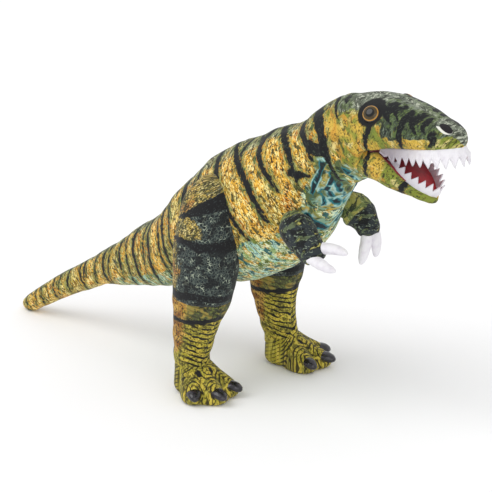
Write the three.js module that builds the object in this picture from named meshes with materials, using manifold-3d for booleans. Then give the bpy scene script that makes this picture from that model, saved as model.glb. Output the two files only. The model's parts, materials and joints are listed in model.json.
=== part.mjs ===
// Stuffed tyrannosaur: sewn short-pile skin panels over stuffing, felt teeth, safety eyes, bean-weighted feet.
// Millimetres, +Z up, +X towards the nose, +Y towards the toy's left. The soles and the tail tip stand on z = 0.
import * as THREE from 'three';
import { mergeVertices } from 'three/addons/utils/BufferGeometryUtils.js';
import Module from 'manifold-3d';

const wasm = await Module();
wasm.setup();

// ---- driving dimensions -------------------------------------------------------------------------
const SKIN = 1.5;          // thickness of the plush fabric with its pile
const GAP = 0.35;          // clearance between two pieces that touch
const FAR = 500;           // reach of a cutting block, larger than the toy
const BODY_SIDES = 18;     // facets round the trunk and the head
const LIMB_SIDES = 12;     // facets round a leg
const TAIL_SIDES = 14;     // facets round the tail
const SMALL_SIDES = 10;    // facets round an arm or a claw
const BAR_SIDES = 28;      // facets round a joint's turning surface

// Trunk axis in the mid-plane: x, z, half width, half height. It runs on past both of its joints.
const TRUNK = [
  [-214, 80, 19, 19], [-174, 96, 26, 27], [-139, 113, 33, 35], [-100, 131, 43, 43], [-58, 158, 54, 57],
  [-12, 184, 61, 68],
  [34, 214, 60, 66], [67, 246, 50, 53], [96, 275, 41, 42], [126, 304, 40, 40],
];
const TAIL = [
  [-347, 7, 3, 3], [-338, 8, 8, 9], [-320, 18.5, 11, 11], [-289, 38, 13, 13], [-249, 61, 15, 15.5],
  [-214, 80, 19, 19], [-174, 96, 26, 27], [-139, 113, 33, 35], [-100, 131, 43, 43],
];
const HEAD = [
  [60, 239, 50, 54], [96, 275, 41, 42], [118, 294, 40, 43], [140, 303, 39, 44], [172, 322, 38, 27],
  [205, 323, 33, 23.5], [232, 322, 26, 18.5], [248, 319, 19, 13], [256, 315, 9, 7],
];
const JAW = [
  [136, 285, 28, 18], [158, 283, 33, 21.5], [178, 275, 32, 19], [200, 263, 28, 15], [215, 254, 21, 11],
  [225, 248, 11, 7], [228, 246, 4, 4],
];
// Leg, top to bottom: x, |y|, z, half width, half depth, share of the stride.
const LEG = [
  [-16, 47, 234, 11, 13, 0], [-16, 50, 224, 20, 26, 0], [-16, 53, 205, 25, 33, 0], [-17, 56, 180, 28, 37, 0],
  [-18, 58, 150, 29, 38, 0], [-19, 60, 126, 28.5, 36, 0], [-21.5, 61, 103, 26, 31.5, 0.12],
  [-25.5, 62, 79, 23, 25.5, 0.28], [-26.5, 62, 54, 20, 21, 0.6], [-24, 62, 31, 19, 19.5, 0.96],
  [-22.5, 62, 16, 20, 20, 1],
];
const STRIDE = 12;                 // the left foot stands this far ahead, the right one this far behind
const ANKLE = [-22.5, 62];         // x and |y| of the foot's own origin before the stride
const FOOT_SPLAY = THREE.MathUtils.degToRad(17);
// Foot, heel to toes: distance ahead of the ankle, z, half width, half height.
const FOOT = [                     // it reaches below the floor, where the flat sole cuts it off
  [-24, 12, 6, 7], [-17, 12, 17, 15], [0, 12.5, 22, 18], [18, 10, 25, 16], [33, 7.5, 23.5, 13.5],
  [42, 6, 18, 10], [46, 8, 8, 5],
];
const TOES = [                     // angle from the foot's direction, reach of the claw's middle
  { name: 'inner', angle: -30, reach: 45 }, { name: 'middle', angle: 0, reach: 50 },
  { name: 'outer', angle: 33, reach: 45 },
];
const CLAW_SIZE = [11, 7.5, 7];    // half length, half width and half height of a toe claw
const CLAW_HEIGHT = 7.3;           // height of a claw's middle, which just clears the floor
const SOLE = 2;                    // thickness of the flat sole
const SHIN_TOP = 108;              // height of the seam between thigh and shin
const SHIN_FOOT = 20;              // depth that the shin reaches into the foot
const LEG_INNER = 31;              // |y| of the flat face that the thigh turns its back to the trunk with

const NECK = { x: 92, z: 271, r: 45.5 };         // turned about Y
const JAW_HINGE = { x: 158, z: 283, r: 22.5 };   // turned about Y
const TAIL_ROOT = { x: -155, y: 0, r: 33 };      // turned about Z
const TAIL_BEND = { x: -255, y: 0, r: 16.3 };    // turned about Z
const HIP = { x: -16, z: 186, r: 53 };           // turned about Y
const SHOULDER = { x: 93, z: 204, r: 24 };       // turned about Y
const SHOULDER_INNER = 36;
const PALATE = { x: 168, z: 297, slope: THREE.MathUtils.degToRad(8.5) };
const MOUTH_FLOOR = { x: 170, z: 296, slope: THREE.MathUtils.degToRad(-36.5) };
const LINING = 1.2;
const FELT = 1.6;                  // thickness of the teeth felt

// Outline of each row of teeth in its own lip plane: distance ahead of the plane's point, half width.
const UPPER_ROW = [[4, 33], [20, 31.5], [38, 28.5], [56, 24], [70, 17.5], [79, 9], [81.5, 0]];
const LOWER_ROW = [[15, 24], [26, 23.3], [38, 20], [50, 14], [58, 6.5], [60, 0]];
const TOOTH = { pitch: 7.5, tip: 14, valley: 6 };

const EYE = {
  at: [172, 34, 335.5], dome: 9, depth: 5.5, stem: 2.4, stemLength: 13, washer: 8, washerHole: 2.9, washerThick: 1.6,
};
const ARM_PATHS = {                // x, |y|, z, radius from shoulder to wrist
  right: [[83, 43, 213, 9], [89, 47, 208, 16.5], [98, 50, 201, 18.5], [109, 52, 191, 14.5], [117, 52, 184, 10.5]],
  left: [[79, 43, 203, 9], [86, 47, 203, 16], [97, 50, 198, 18], [107, 51, 188, 14], [113, 51, 178, 10.5]],
};
const ARM_CLAWS = {                // two padded claws an arm: start, end, half width
  right: [[[118, 48.5, 186], [155, 47, 192], 7], [[115, 57, 181], [150, 60, 175], 7]],
  left: [[[113, 47, 174], [106, 45, 143], 7], [[116, 57, 175], [115, 58, 150], 6.5]],
};

// ---- finishes -----------------------------------------------------------------------------------
const finish = (color, roughness) => () => new THREE.MeshStandardMaterial({ color, roughness, metalness: 0 });
const gold = finish(0xb58a3c, 0.9);
const olive = finish(0x6f7a3a, 0.9);
const thighPrint = finish(0x3c4a48, 0.9);
const teal = finish(0x8fb8a6, 0.9);
const fill = finish(0xe9e6dc, 1);
const crimson = finish(0x7a1020, 0.8);
const white = finish(0xf0eef2, 0.85);
const black = finish(0x14141a, 0.25);
const amber = finish(0xb8862f, 0.1);
const clear = finish(0xd8d8d2, 0.4);

// ---- solids -------------------------------------------------------------------------------------
function toManifold(geometry) {
  const g = geometry.clone();
  g.deleteAttribute('normal');
  g.deleteAttribute('uv');
  const m = mergeVertices(g, 1e-4);
  return new wasm.Manifold(new wasm.Mesh({
    numProp: 3,
    vertProperties: new Float32Array(m.attributes.position.array),
    triVerts: new Uint32Array(m.index.array),
  }));
}

function toGeometry(manifold) {
  const mesh = manifold.getMesh();
  const g = new THREE.BufferGeometry();
  g.setAttribute('position', new THREE.BufferAttribute(new Float32Array(mesh.vertProperties), 3));
  g.setIndex(new THREE.BufferAttribute(new Uint32Array(mesh.triVerts), 1));
  g.computeVertexNormals();
  return g;
}

// The largest connected piece, so that a cut never leaves a loose sliver in a node.
function whole(manifold) {
  const parts = manifold.decompose();
  return parts.reduce((a, b) => (b.volume() > a.volume() ? b : a));
}

// A closed tube through elliptical rings. Each ring is [centre, half width, half height]; `inset`
// shrinks the tube on every side, and `sides` is the number of facets round it.
function tube(rings, sides, inset = 0) {
  const centres = rings.map(([c]) => c.clone());
  const n = rings.length;
  const tangents = centres.map((_, i) => (
    new THREE.Vector3().subVectors(centres[Math.min(i + 1, n - 1)], centres[Math.max(i - 1, 0)]).normalize()));
  centres[0].addScaledVector(tangents[0], inset);
  centres[n - 1].addScaledVector(tangents[n - 1], -inset);
  const position = [];
  const index = [];
  rings.forEach(([, w, h], i) => {
    const side = new THREE.Vector3(0, 1, 0);
    side.addScaledVector(tangents[i], -side.dot(tangents[i])).normalize();
    const up = new THREE.Vector3().crossVectors(tangents[i], side);
    for (let k = 0; k < sides; k += 1) {
      const a = (2 * Math.PI * k) / sides;
      const p = centres[i].clone();
      p.addScaledVector(side, Math.max(w - inset, 0.5) * Math.cos(a));
      p.addScaledVector(up, Math.max(h - inset, 0.5) * Math.sin(a));
      position.push(p.x, p.y, p.z);
    }
  });
  for (let i = 0; i < n - 1; i += 1) {
    for (let k = 0; k < sides; k += 1) {
      const a = i * sides + k;
      const b = i * sides + ((k + 1) % sides);
      index.push(a, b, a + sides, b, b + sides, a + sides);
    }
  }
  const last = (n - 1) * sides;
  for (let k = 1; k < sides - 1; k += 1) {
    index.push(0, k + 1, k);
    index.push(last, last + k, last + k + 1);
  }
  const g = new THREE.BufferGeometry();
  g.setAttribute('position', new THREE.Float32BufferAttribute(position, 3));
  g.setIndex(index);
  return toManifold(g);
}

const midPlaneRings = (rows) => rows.map(([x, z, w, h]) => [new THREE.Vector3(x, 0, z), w, h]);

// A prism along Y through an outline in the XZ plane, from y0 to y1.
function prism(outline, y0, y1) {
  const shape = new THREE.Shape(outline.map(([x, z]) => new THREE.Vector2(x, z)));
  const g = new THREE.ExtrudeGeometry(shape, { depth: y1 - y0, bevelEnabled: false });
  g.rotateX(Math.PI / 2);
  g.translate(0, y1, 0);
  return toManifold(g);
}

function block(x0, x1, y0, y1, z0, z1) {
  const g = new THREE.BoxGeometry(x1 - x0, y1 - y0, z1 - z0);
  g.translate((x0 + x1) / 2, (y0 + y1) / 2, (z0 + z1) / 2);
  return toManifold(g);
}

// A round bar along Y at (x, z), or along Z at (x, y).
function barY(x, z, r, y0 = -FAR, y1 = FAR) {
  const g = new THREE.CylinderGeometry(r, r, y1 - y0, BAR_SIDES);
  g.translate(x, (y0 + y1) / 2, 0);
  g.translate(0, 0, z);
  return toManifold(g);
}

function barZ(x, y, r) {
  const g = new THREE.CylinderGeometry(r, r, 2 * FAR, BAR_SIDES);
  g.rotateX(Math.PI / 2);
  g.translate(x, y, 0);
  return toManifold(g);
}

function ellipsoid(centre, size, yaw = 0, grow = 0, pitch = 0) {
  const g = new THREE.SphereGeometry(1, SMALL_SIDES, 6);
  g.scale(size[0] + grow, size[1] + grow, size[2] + grow);
  g.rotateY(pitch);
  g.rotateZ(yaw);
  g.translate(...centre);
  return toManifold(g);
}

// Everything above (or below) a plane that runs along Y through (x, z) at a slope in the XZ plane.
function abovePlane(plane, offset = 0) {
  const g = new THREE.BoxGeometry(2 * FAR, 2 * FAR, FAR);
  g.translate(0, 0, FAR / 2 + offset);
  g.rotateY(-plane.slope);
  g.translate(plane.x, 0, plane.z);
  return toManifold(g);
}

// ---- scene graph helper ---------------------------------------------------------------------------
const toy = new THREE.Group();
const solids = {};
function add(name, manifold, material) {
  const solid = whole(manifold);
  const mesh = new THREE.Mesh(toGeometry(solid), material());
  mesh.name = name;
  solids[name] = solid;
  toy.add(mesh);
}

// Skin and stuffing of one tube: the outer form, the skin shell and the core that fills it.
function stuffed(rings, sides) {
  const outer = tube(rings, sides);
  return { outer, shell: outer.subtract(tube(rings, sides, SKIN)), core: tube(rings, sides, SKIN + GAP) };
}

const rightHalf = block(-FAR, FAR, -FAR, -GAP / 2, -FAR, FAR);
const leftHalf = block(-FAR, FAR, GAP / 2, FAR, -FAR, FAR);
const aboveFloor = block(-FAR, FAR, -FAR, FAR, 0, FAR);

// ---- joint surfaces: a round bar of the child turns inside a hollow of its parent -------------------
const neckFront = prism([[NECK.x - 300, NECK.z + 312], [NECK.x + 300, NECK.z - 312], [NECK.x + 900, NECK.z + 300],
  [NECK.x + 300, NECK.z + 900]], -FAR, FAR);
const neckChild = neckFront.add(barY(NECK.x, NECK.z, NECK.r));
const neckParentCut = neckFront.add(barY(NECK.x, NECK.z, NECK.r + GAP));
const tailChild = block(-FAR, TAIL_ROOT.x, -FAR, FAR, -FAR, FAR).add(barZ(TAIL_ROOT.x, 0, TAIL_ROOT.r));
const tailParentCut = block(-FAR, TAIL_ROOT.x, -FAR, FAR, -FAR, FAR).add(barZ(TAIL_ROOT.x, 0, TAIL_ROOT.r + GAP));
const tipChild = block(-FAR, TAIL_BEND.x, -FAR, FAR, -FAR, FAR).add(barZ(TAIL_BEND.x, 0, TAIL_BEND.r));
const tipParentCut = block(-FAR, TAIL_BEND.x, -FAR, FAR, -FAR, FAR).add(barZ(TAIL_BEND.x, 0, TAIL_BEND.r + GAP));

// ---- trunk -----------------------------------------------------------------------------------------
// Room for the thighs and the arms: upright pockets in both flanks, round about the hip and the shoulder.
function pocket(joint, inner, side, foot) {
  const y0 = side > 0 ? inner - GAP : -FAR;
  const y1 = side > 0 ? FAR : -inner + GAP;
  const disc = barY(joint.x, joint.z, joint.r, y0, y1);
  return foot ? disc.add(block(joint.x - joint.r, joint.x + joint.r, y0, y1, -FAR, joint.z)) : disc;
}

const trunk = stuffed(midPlaneRings(TRUNK), BODY_SIDES);
let trunkCut = neckParentCut.add(tailParentCut);
[-1, 1].forEach((side) => {
  trunkCut = trunkCut.add(pocket(HIP, LEG_INNER, side, true));
  trunkCut = trunkCut.add(pocket(SHOULDER, SHOULDER_INNER, side, false));
});
const bellyOutline = [[-104, 0], [-104, 96], [-62, 124], [20, 160], [88, 196], [124, 246], [220, 200], [220, 0]];
const belly = prism(bellyOutline, -FAR, FAR);
const trunkSkin = trunk.shell.subtract(trunkCut);
const flank = trunkSkin.subtract(prism(bellyOutline.map(([x, z]) => [x, z + GAP]), -FAR, FAR));
add('flank_skin_right', flank.intersect(rightHalf), gold);
add('flank_skin_left', flank.intersect(leftHalf), gold);
add('belly_panel', trunkSkin.intersect(belly), teal);
add('trunk_stuffing', trunk.core.subtract(trunkCut), fill);

// ---- tail ------------------------------------------------------------------------------------------
const tail = stuffed(midPlaneRings(TAIL), TAIL_SIDES);
const tailPart = (m) => m.intersect(tailChild).subtract(tipParentCut);
const tipPart = (m) => m.intersect(tipChild).intersect(aboveFloor);
add('tail_skin_right', tailPart(tail.shell).intersect(rightHalf), gold);
add('tail_skin_left', tailPart(tail.shell).intersect(leftHalf), gold);
add('tail_stuffing', tailPart(tail.core), fill);
add('tail_tip_skin', tipPart(tail.shell), olive);
add('tail_tip_stuffing', tipPart(tail.core), fill);

// ---- head ------------------------------------------------------------------------------------------
const head = stuffed(midPlaneRings(HEAD), BODY_SIDES);
const throatCut = barY(JAW_HINGE.x, JAW_HINGE.z, JAW_HINGE.r + GAP);
const aheadOfHinge = block(JAW_HINGE.x - 3, FAR, -FAR, FAR, -FAR, FAR);
const mouthCut = (offset) => aheadOfHinge.subtract(abovePlane(PALATE, offset)).add(throatCut);

function eyeFrame(side) {
  const at = new THREE.Vector3(EYE.at[0], side * EYE.at[1], EYE.at[2]);
  const out = new THREE.Vector3(0.2, side * 0.78, 0.58).normalize();
  return new THREE.Matrix4().compose(
    at, new THREE.Quaternion().setFromUnitVectors(new THREE.Vector3(0, 1, 0), out), new THREE.Vector3(1, 1, 1));
}
// The eye is a turned dome with a stem; its washer snaps on the stem behind the skin.
function eyeSolid(grow = 0) {
  const points = [[0, -EYE.stemLength], [EYE.stem, -EYE.stemLength], [EYE.stem, 0.6], [EYE.dome, 0.6], [EYE.dome, 1.6]];
  for (let k = 1; k <= 3; k += 1) {
    const a = (Math.PI / 2) * (k / 4);
    points.push([EYE.dome * Math.cos(a), 1.6 + (EYE.depth - 1.6) * Math.sin(a)]);
  }
  points.push([0, EYE.depth]);
  return new THREE.LatheGeometry(points.map(([r, y]) => new THREE.Vector2(r + (r > 0 ? grow : 0), y)), EYE_SIDES);
}
function washerSolid(hole, radius, y0, y1) {
  const ring = [[hole, y0], [radius, y0], [radius, y1], [hole, y1], [hole, y0]];
  return new THREE.LatheGeometry(ring.map(([r, y]) => new THREE.Vector2(r, y)), EYE_SIDES);
}
const EYE_SIDES = 16;
const WASHER_Y = -8;               // the washer's back face, along the stem
let eyeRoom = null;
[-1, 1].forEach((side) => {
  const frame = eyeFrame(side);
  const stem = new THREE.CylinderGeometry(EYE.washerHole, EYE.washerHole, 40, EYE_SIDES);
  const seat = new THREE.CylinderGeometry(EYE.washer + GAP, EYE.washer + GAP, 12, EYE_SIDES);
  seat.translate(0, WASHER_Y + EYE.washerThick + GAP - 6, 0);
  const dome = eyeSolid(GAP);
  [stem, seat, dome].forEach((g) => g.applyMatrix4(frame));
  const room = toManifold(stem).add(toManifold(dome));
  eyeRoom = eyeRoom ? eyeRoom.add(room) : room;
  eyeRoom = eyeRoom.add(toManifold(seat).intersect(tube(midPlaneRings(HEAD), BODY_SIDES, SKIN)));
});

const headSkin = head.shell.intersect(neckChild).subtract(mouthCut(0)).subtract(eyeRoom);
add('head_skin_right', headSkin.intersect(rightHalf), gold);
add('head_skin_left', headSkin.intersect(leftHalf), gold);
add('head_stuffing', head.core.intersect(neckChild).subtract(mouthCut(LINING + GAP)).subtract(eyeRoom), fill);
add('palate_lining', head.core.subtract(mouthCut(0)).subtract(abovePlane(PALATE, LINING))
  .intersect(block(JAW_HINGE.x, FAR, -FAR, FAR, -FAR, FAR)), crimson);
[['right', -1], ['left', 1]].forEach(([word, side]) => {
  const frame = eyeFrame(side);
  const eye = eyeSolid();
  const washer = washerSolid(EYE.washerHole, EYE.washer, WASHER_Y, WASHER_Y + EYE.washerThick);
  [eye, washer].forEach((g) => g.applyMatrix4(frame));
  add(`eye_${word}`, toManifold(eye), amber);
  add(`eye_washer_${word}`, toManifold(washer), clear);
});

// A row of felt teeth: a band that follows the lip, its free edge cut to a zigzag.
// `way` is -1 for teeth that hang below their lip plane and +1 for teeth that stand on theirs.
function teethRow(row, plane, way) {
  const half = new THREE.CatmullRomCurve3(row.map(([u, v]) => new THREE.Vector3(u, v, 0)), false, 'centripetal');
  const steps = Math.round(half.getLength() / (TOOTH.pitch / 2));
  const rightSide = half.getSpacedPoints(steps).map((p) => new THREE.Vector3(p.x, -p.y, 0));
  const path = [...rightSide, ...half.getSpacedPoints(steps).reverse().slice(1)];
  const position = [];
  path.forEach((p, i) => {
    const ahead = path[Math.min(i + 1, path.length - 1)];
    const behind = path[Math.max(i - 1, 0)];
    const normal = new THREE.Vector3(ahead.y - behind.y, behind.x - ahead.x, 0).normalize();
    const reach = way * (GAP + (i % 2 ? TOOTH.tip : TOOTH.valley));
    [[FELT / 2, way * GAP], [FELT / 2, reach], [-FELT / 2, reach], [-FELT / 2, way * GAP]].forEach(([n, z]) => {
      position.push(p.x + normal.x * n, p.y + normal.y * n, z);
    });
  });
  const index = [];
  for (let i = 0; i < path.length - 1; i += 1) {
    for (let k = 0; k < 4; k += 1) {
      const a = 4 * i + k;
      const b = 4 * i + ((k + 1) % 4);
      index.push(...(way < 0 ? [a, b, a + 4, b, b + 4, a + 4] : [a, a + 4, b, b, a + 4, b + 4]));
    }
  }
  const e = 4 * (path.length - 1);
  const caps = [[0, 2, 1], [0, 3, 2], [e, e + 1, e + 2], [e, e + 2, e + 3]];
  caps.forEach(([a, b, c]) => index.push(...(way < 0 ? [a, b, c] : [a, c, b])));
  const g = new THREE.BufferGeometry();
  g.setAttribute('position', new THREE.Float32BufferAttribute(position, 3));
  g.setIndex(index);
  g.rotateY(-plane.slope);
  g.translate(plane.x, 0, plane.z);
  return toManifold(g);
}
add('upper_teeth', teethRow(UPPER_ROW, PALATE, -1), white);

// ---- lower jaw -------------------------------------------------------------------------------------
const jaw = stuffed(midPlaneRings(JAW), BODY_SIDES);
const jawKeep = block(JAW_HINGE.x, FAR, -FAR, FAR, -FAR, FAR).add(barY(JAW_HINGE.x, JAW_HINGE.z, JAW_HINGE.r));
const jawPart = (m, offset) => m.intersect(jawKeep).subtract(abovePlane(MOUTH_FLOOR, offset));
add('jaw_skin', jawPart(jaw.shell, 0), gold);
add('jaw_stuffing', jawPart(jaw.core, -(LINING + GAP)), fill);
add('mouth_floor_lining', jaw.core.intersect(jawKeep).subtract(abovePlane(MOUTH_FLOOR, 0))
  .intersect(abovePlane(MOUTH_FLOOR, -LINING)), crimson);
add('lower_teeth', teethRow(LOWER_ROW, MOUTH_FLOOR, 1), white);

// ---- legs ------------------------------------------------------------------------------------------
function leg(word, side) {
  const stride = side * STRIDE;
  const rings = LEG.map(([x, y, z, w, h, share]) => [new THREE.Vector3(x + stride * share, side * y, z), w, h]);
  const limb = stuffed(rings, LIMB_SIDES);
  const outside = (face) => (side > 0 ? block(-FAR, FAR, face, FAR, -FAR, FAR)
    : block(-FAR, FAR, -FAR, -face, -FAR, FAR));
  const outer = limb.outer.intersect(outside(LEG_INNER));
  const inner = tube(rings, LIMB_SIDES, SKIN).intersect(outside(LEG_INNER + SKIN));
  const shell = outer.subtract(inner);
  const above = (z) => block(-FAR, FAR, -FAR, FAR, z, FAR);
  add(`thigh_skin_${word}`, shell.intersect(above(SHIN_TOP + GAP)), thighPrint);
  add(`shin_skin_${word}`, shell.intersect(above(SHIN_FOOT)).subtract(above(SHIN_TOP)), olive);
  add(`leg_stuffing_${word}`, limb.core.intersect(outside(LEG_INNER + SKIN + GAP))
    .intersect(above(SHIN_FOOT)), fill);

  const yaw = side * FOOT_SPLAY;
  const ankle = new THREE.Vector3(ANKLE[0] + stride, side * ANKLE[1], 0);
  const ahead = new THREE.Vector3(Math.cos(yaw), Math.sin(yaw), 0);
  const footRings = FOOT.map(([d, z, w, h]) => [
    ankle.clone().addScaledVector(ahead, d).setZ(z), w, h]);
  const foot = stuffed(footRings, LIMB_SIDES);
  const claws = TOES.map(({ name, angle, reach }) => {
    const turn = yaw + side * THREE.MathUtils.degToRad(angle);
    const at = [ankle.x + reach * Math.cos(turn), ankle.y + reach * Math.sin(turn), CLAW_HEIGHT];
    return { name, at, turn };
  });
  let clawRoom = toManifold(new THREE.BoxGeometry(1, 1, 1).translate(0, 0, -FAR));
  claws.forEach(({ at, turn }) => { clawRoom = clawRoom.add(ellipsoid(at, CLAW_SIZE, turn, 2 * GAP)); });
  const limbRoom = tube(rings, LIMB_SIDES, -GAP).intersect(above(SHIN_FOOT - GAP));
  const overSole = above(SOLE + GAP);
  add(`foot_skin_${word}`, foot.shell.intersect(overSole).subtract(limbRoom).subtract(clawRoom), olive);
  add(`foot_beans_${word}`, foot.core.intersect(overSole).subtract(above(SHIN_FOOT - GAP))
    .subtract(clawRoom), clear);
  add(`sole_${word}`, foot.outer.intersect(block(-FAR, FAR, -FAR, FAR, 0, SOLE)).subtract(clawRoom), olive);
  claws.forEach(({ name, at, turn }) => add(`claw_${name}_${word}`, ellipsoid(at, CLAW_SIZE, turn), black));
}
leg('right', -1);
leg('left', 1);

// ---- arms ------------------------------------------------------------------------------------------
function arm(word, side) {
  const rings = ARM_PATHS[word].map(([x, y, z, r]) => [new THREE.Vector3(x, side * y, z), r, r]);
  const outside = side > 0 ? block(-FAR, FAR, SHOULDER_INNER, FAR, -FAR, FAR)
    : block(-FAR, FAR, -FAR, -SHOULDER_INNER, -FAR, FAR);
  const limb = stuffed(rings, SMALL_SIDES);
  const claws = ARM_CLAWS[word].map(([from, to, width]) => {
    const a = new THREE.Vector3(from[0], side * from[1], from[2]);
    const b = new THREE.Vector3(to[0], side * to[1], to[2]);
    const at = (t) => a.clone().lerp(b, t);
    const shape = [[0, 0.7], [0.3, 0.95], [0.65, 1], [0.9, 0.75], [1, 0.3]];
    return (grow) => tube(shape.map(([t, r]) => [at(t), width * r, width * r * 0.8]), SMALL_SIDES, -grow);
  });
  let clawRoom = claws[0](GAP);
  clawRoom = clawRoom.add(claws[1](GAP));
  add(`arm_skin_${word}`, limb.shell.intersect(outside).subtract(clawRoom), thighPrint);
  add(`arm_stuffing_${word}`, limb.core.intersect(outside).subtract(clawRoom), fill);
  add(`arm_claw_inner_${word}`, claws[0](0), white);
  add(`arm_claw_outer_${word}`, claws[1](0).subtract(claws[0](GAP)), white);
}
arm('right', -1);
arm('left', 1);

// ---- stand the toy on its feet with the frame's origin under the middle of its box -------------------
const box = new THREE.Box3().setFromObject(toy);
const middle = box.getCenter(new THREE.Vector3());
toy.position.set(-middle.x, -middle.y, -box.min.z);
toy.updateMatrixWorld(true);

export default toy;
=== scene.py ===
"""A stuffed tyrannosaur of printed plush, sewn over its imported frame: skin panels, felt teeth, eyes, claws.

Sizes are written in millimetres in the toy's own pattern, whose x runs from the tail (negative) to the
nose, with y to the toy's left and z up from the floor. One function turns them into metres in the frame.
"""
import json
import logging
from dataclasses import dataclass, field
from enum import Enum

import bpy
import numpy as np
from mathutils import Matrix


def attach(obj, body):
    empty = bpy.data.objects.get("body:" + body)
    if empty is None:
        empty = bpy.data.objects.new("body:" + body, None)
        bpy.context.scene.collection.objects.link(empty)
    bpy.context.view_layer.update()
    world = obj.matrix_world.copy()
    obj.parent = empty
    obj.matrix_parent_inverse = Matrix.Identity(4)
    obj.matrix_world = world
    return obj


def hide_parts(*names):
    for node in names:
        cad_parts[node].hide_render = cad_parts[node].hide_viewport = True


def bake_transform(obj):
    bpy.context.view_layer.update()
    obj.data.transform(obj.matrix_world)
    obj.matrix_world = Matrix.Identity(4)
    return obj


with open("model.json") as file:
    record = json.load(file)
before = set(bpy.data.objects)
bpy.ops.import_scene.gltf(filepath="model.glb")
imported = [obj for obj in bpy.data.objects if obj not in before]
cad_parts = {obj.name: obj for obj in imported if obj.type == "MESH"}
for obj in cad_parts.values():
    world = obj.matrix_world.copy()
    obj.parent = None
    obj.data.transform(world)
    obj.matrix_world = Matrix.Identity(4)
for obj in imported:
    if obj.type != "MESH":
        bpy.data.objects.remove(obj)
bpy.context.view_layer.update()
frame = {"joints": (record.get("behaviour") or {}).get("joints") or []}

MM = 0.001
JOINT = {joint["name"]: np.array(joint["pos_m"]) for joint in frame["joints"]}
NECK_X = 92.0                                     # the neck's axis in the pattern
SHIFT = np.array([JOINT["neck_nod"][0] - NECK_X * MM, 0.0, 0.0])
EYE_MIDDLE = (170, 31.5, 334.2)                   # of the left eye; the right one mirrors it
log = logging.getLogger("plush_tyrannosaur")


# ---- colour, nodes and meshes ------------------------------------------------------------------------
def linear(code: str) -> tuple[float, float, float, float]:
    """Turns an sRGB hex colour into linear light: ((c + 0.055) / 1.055) ^ 2.4, or c / 12.92 near black.

    Args:
        code: six hex digits.
    Returns:
        Red, green, blue and an alpha of 1.
    """
    srgb = np.array([int(code[i:i + 2], 16) / 255 for i in (0, 2, 4)])
    light = np.where(srgb <= 0.04045, srgb / 12.92, ((srgb + 0.055) / 1.055) ** 2.4)
    return (*map(float, light), 1.0)


def add_node(tree: bpy.types.NodeTree, kind: str, inputs: dict | None = None, **settings) -> bpy.types.Node:
    """Adds a node with its settings, and fills or links its inputs.

    Args:
        tree: the node tree it goes in.
        kind: the node's type.
        inputs: value, colour or output socket for each input's name or number.
        settings: the node's own properties.
    Returns:
        The node.
    """
    node = tree.nodes.new(kind)
    for name, value in settings.items():
        setattr(node, name, value)
    for key, value in (inputs or {}).items():
        socket = node.inputs[key]
        if isinstance(value, bpy.types.NodeSocket):
            tree.links.new(value, socket)
        else:
            socket.default_value = value
    return node


def to_frame(points: np.ndarray) -> np.ndarray:
    """Turns pattern millimetres into metres in the frame: point * 0.001 + the pattern's shift along x."""
    return np.asarray(points, float) * MM + SHIFT


def smooth_rows(stations: np.ndarray, step: float) -> np.ndarray:
    """Runs a cubic Hermite curve through a table of stations, with the slope at each from its neighbours.

    Args:
        stations: one row per station, whose first three columns are its place in millimetres.
        step: distance between the rows that come out.
    Returns:
        The dense table, evenly spaced along the curve.
    """
    table = np.asarray(stations, float)
    gaps = np.linalg.norm(np.diff(table[:, :3], axis=0), axis=1)
    knots = np.concatenate([[0.0], np.cumsum(gaps)])
    slopes = np.gradient(table, knots, axis=0)
    at = np.linspace(0.0, knots[-1], int(round(knots[-1] / step)) + 1)
    low = np.clip(np.searchsorted(knots, at, "right") - 1, 0, len(knots) - 2)
    width = (knots[low + 1] - knots[low])[:, None]
    s = ((at - knots[low])[:, None]) / width
    return ((2 * s**3 - 3 * s**2 + 1) * table[low] + (s**3 - 2 * s**2 + s) * width * slopes[low]
            + (3 * s**2 - 2 * s**3) * table[low + 1] + (s**3 - s**2) * width * slopes[low + 1])


def ease(low: float, high: float, value: np.ndarray) -> np.ndarray:
    """A smooth step: 0 below low, 1 above high, and 3t^2 - 2t^3 between, where t is the share of it."""
    t = np.clip((value - low) / (high - low), 0.0, 1.0)
    return t * t * (3.0 - 2.0 * t)


def rounded(depth: np.ndarray, soft: float) -> np.ndarray:
    """How far to move a point that is that deep past a plane, so that the edge is rounded: depth where it
    is more than soft, 0 where it is less than -soft, and (depth + soft)^2 / (4 * soft) between."""
    return np.where(depth > soft, depth, np.where(depth > -soft, (depth + soft)**2 / (4 * soft), 0.0))


def from_top(angle: np.ndarray) -> np.ndarray:
    """Degrees from the top of a ring, from 0 to 180 on either side, for an angle from 0 to 360."""
    return np.where(angle <= 180, angle, 360 - angle)


def ripple(points: np.ndarray, wavelength: float, phase: float = 0.0) -> np.ndarray:
    """A soft uneven field from -1 to 1: the mean of five sine waves that run in different directions.

    Args:
        points: places in millimetres, in the last axis.
        wavelength: size of the unevenness in millimetres.
        phase: moves the whole field.
    Returns:
        One value for each place.
    """
    ways = np.array([[1.0, 0.3, 0.5], [-0.4, 1.0, 0.2], [0.3, -0.5, 1.0], [0.8, 0.8, -0.6], [-0.9, 0.2, 0.9]])
    starts = np.array([0.0, 1.7, 3.1, 4.4, 5.3]) + phase
    stretch = np.array([1.0, 1.31, 0.83, 1.57, 0.71])
    waves = points @ ways.T * stretch * (2 * np.pi / wavelength) + starts
    return np.sin(waves).mean(axis=-1)


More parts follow.
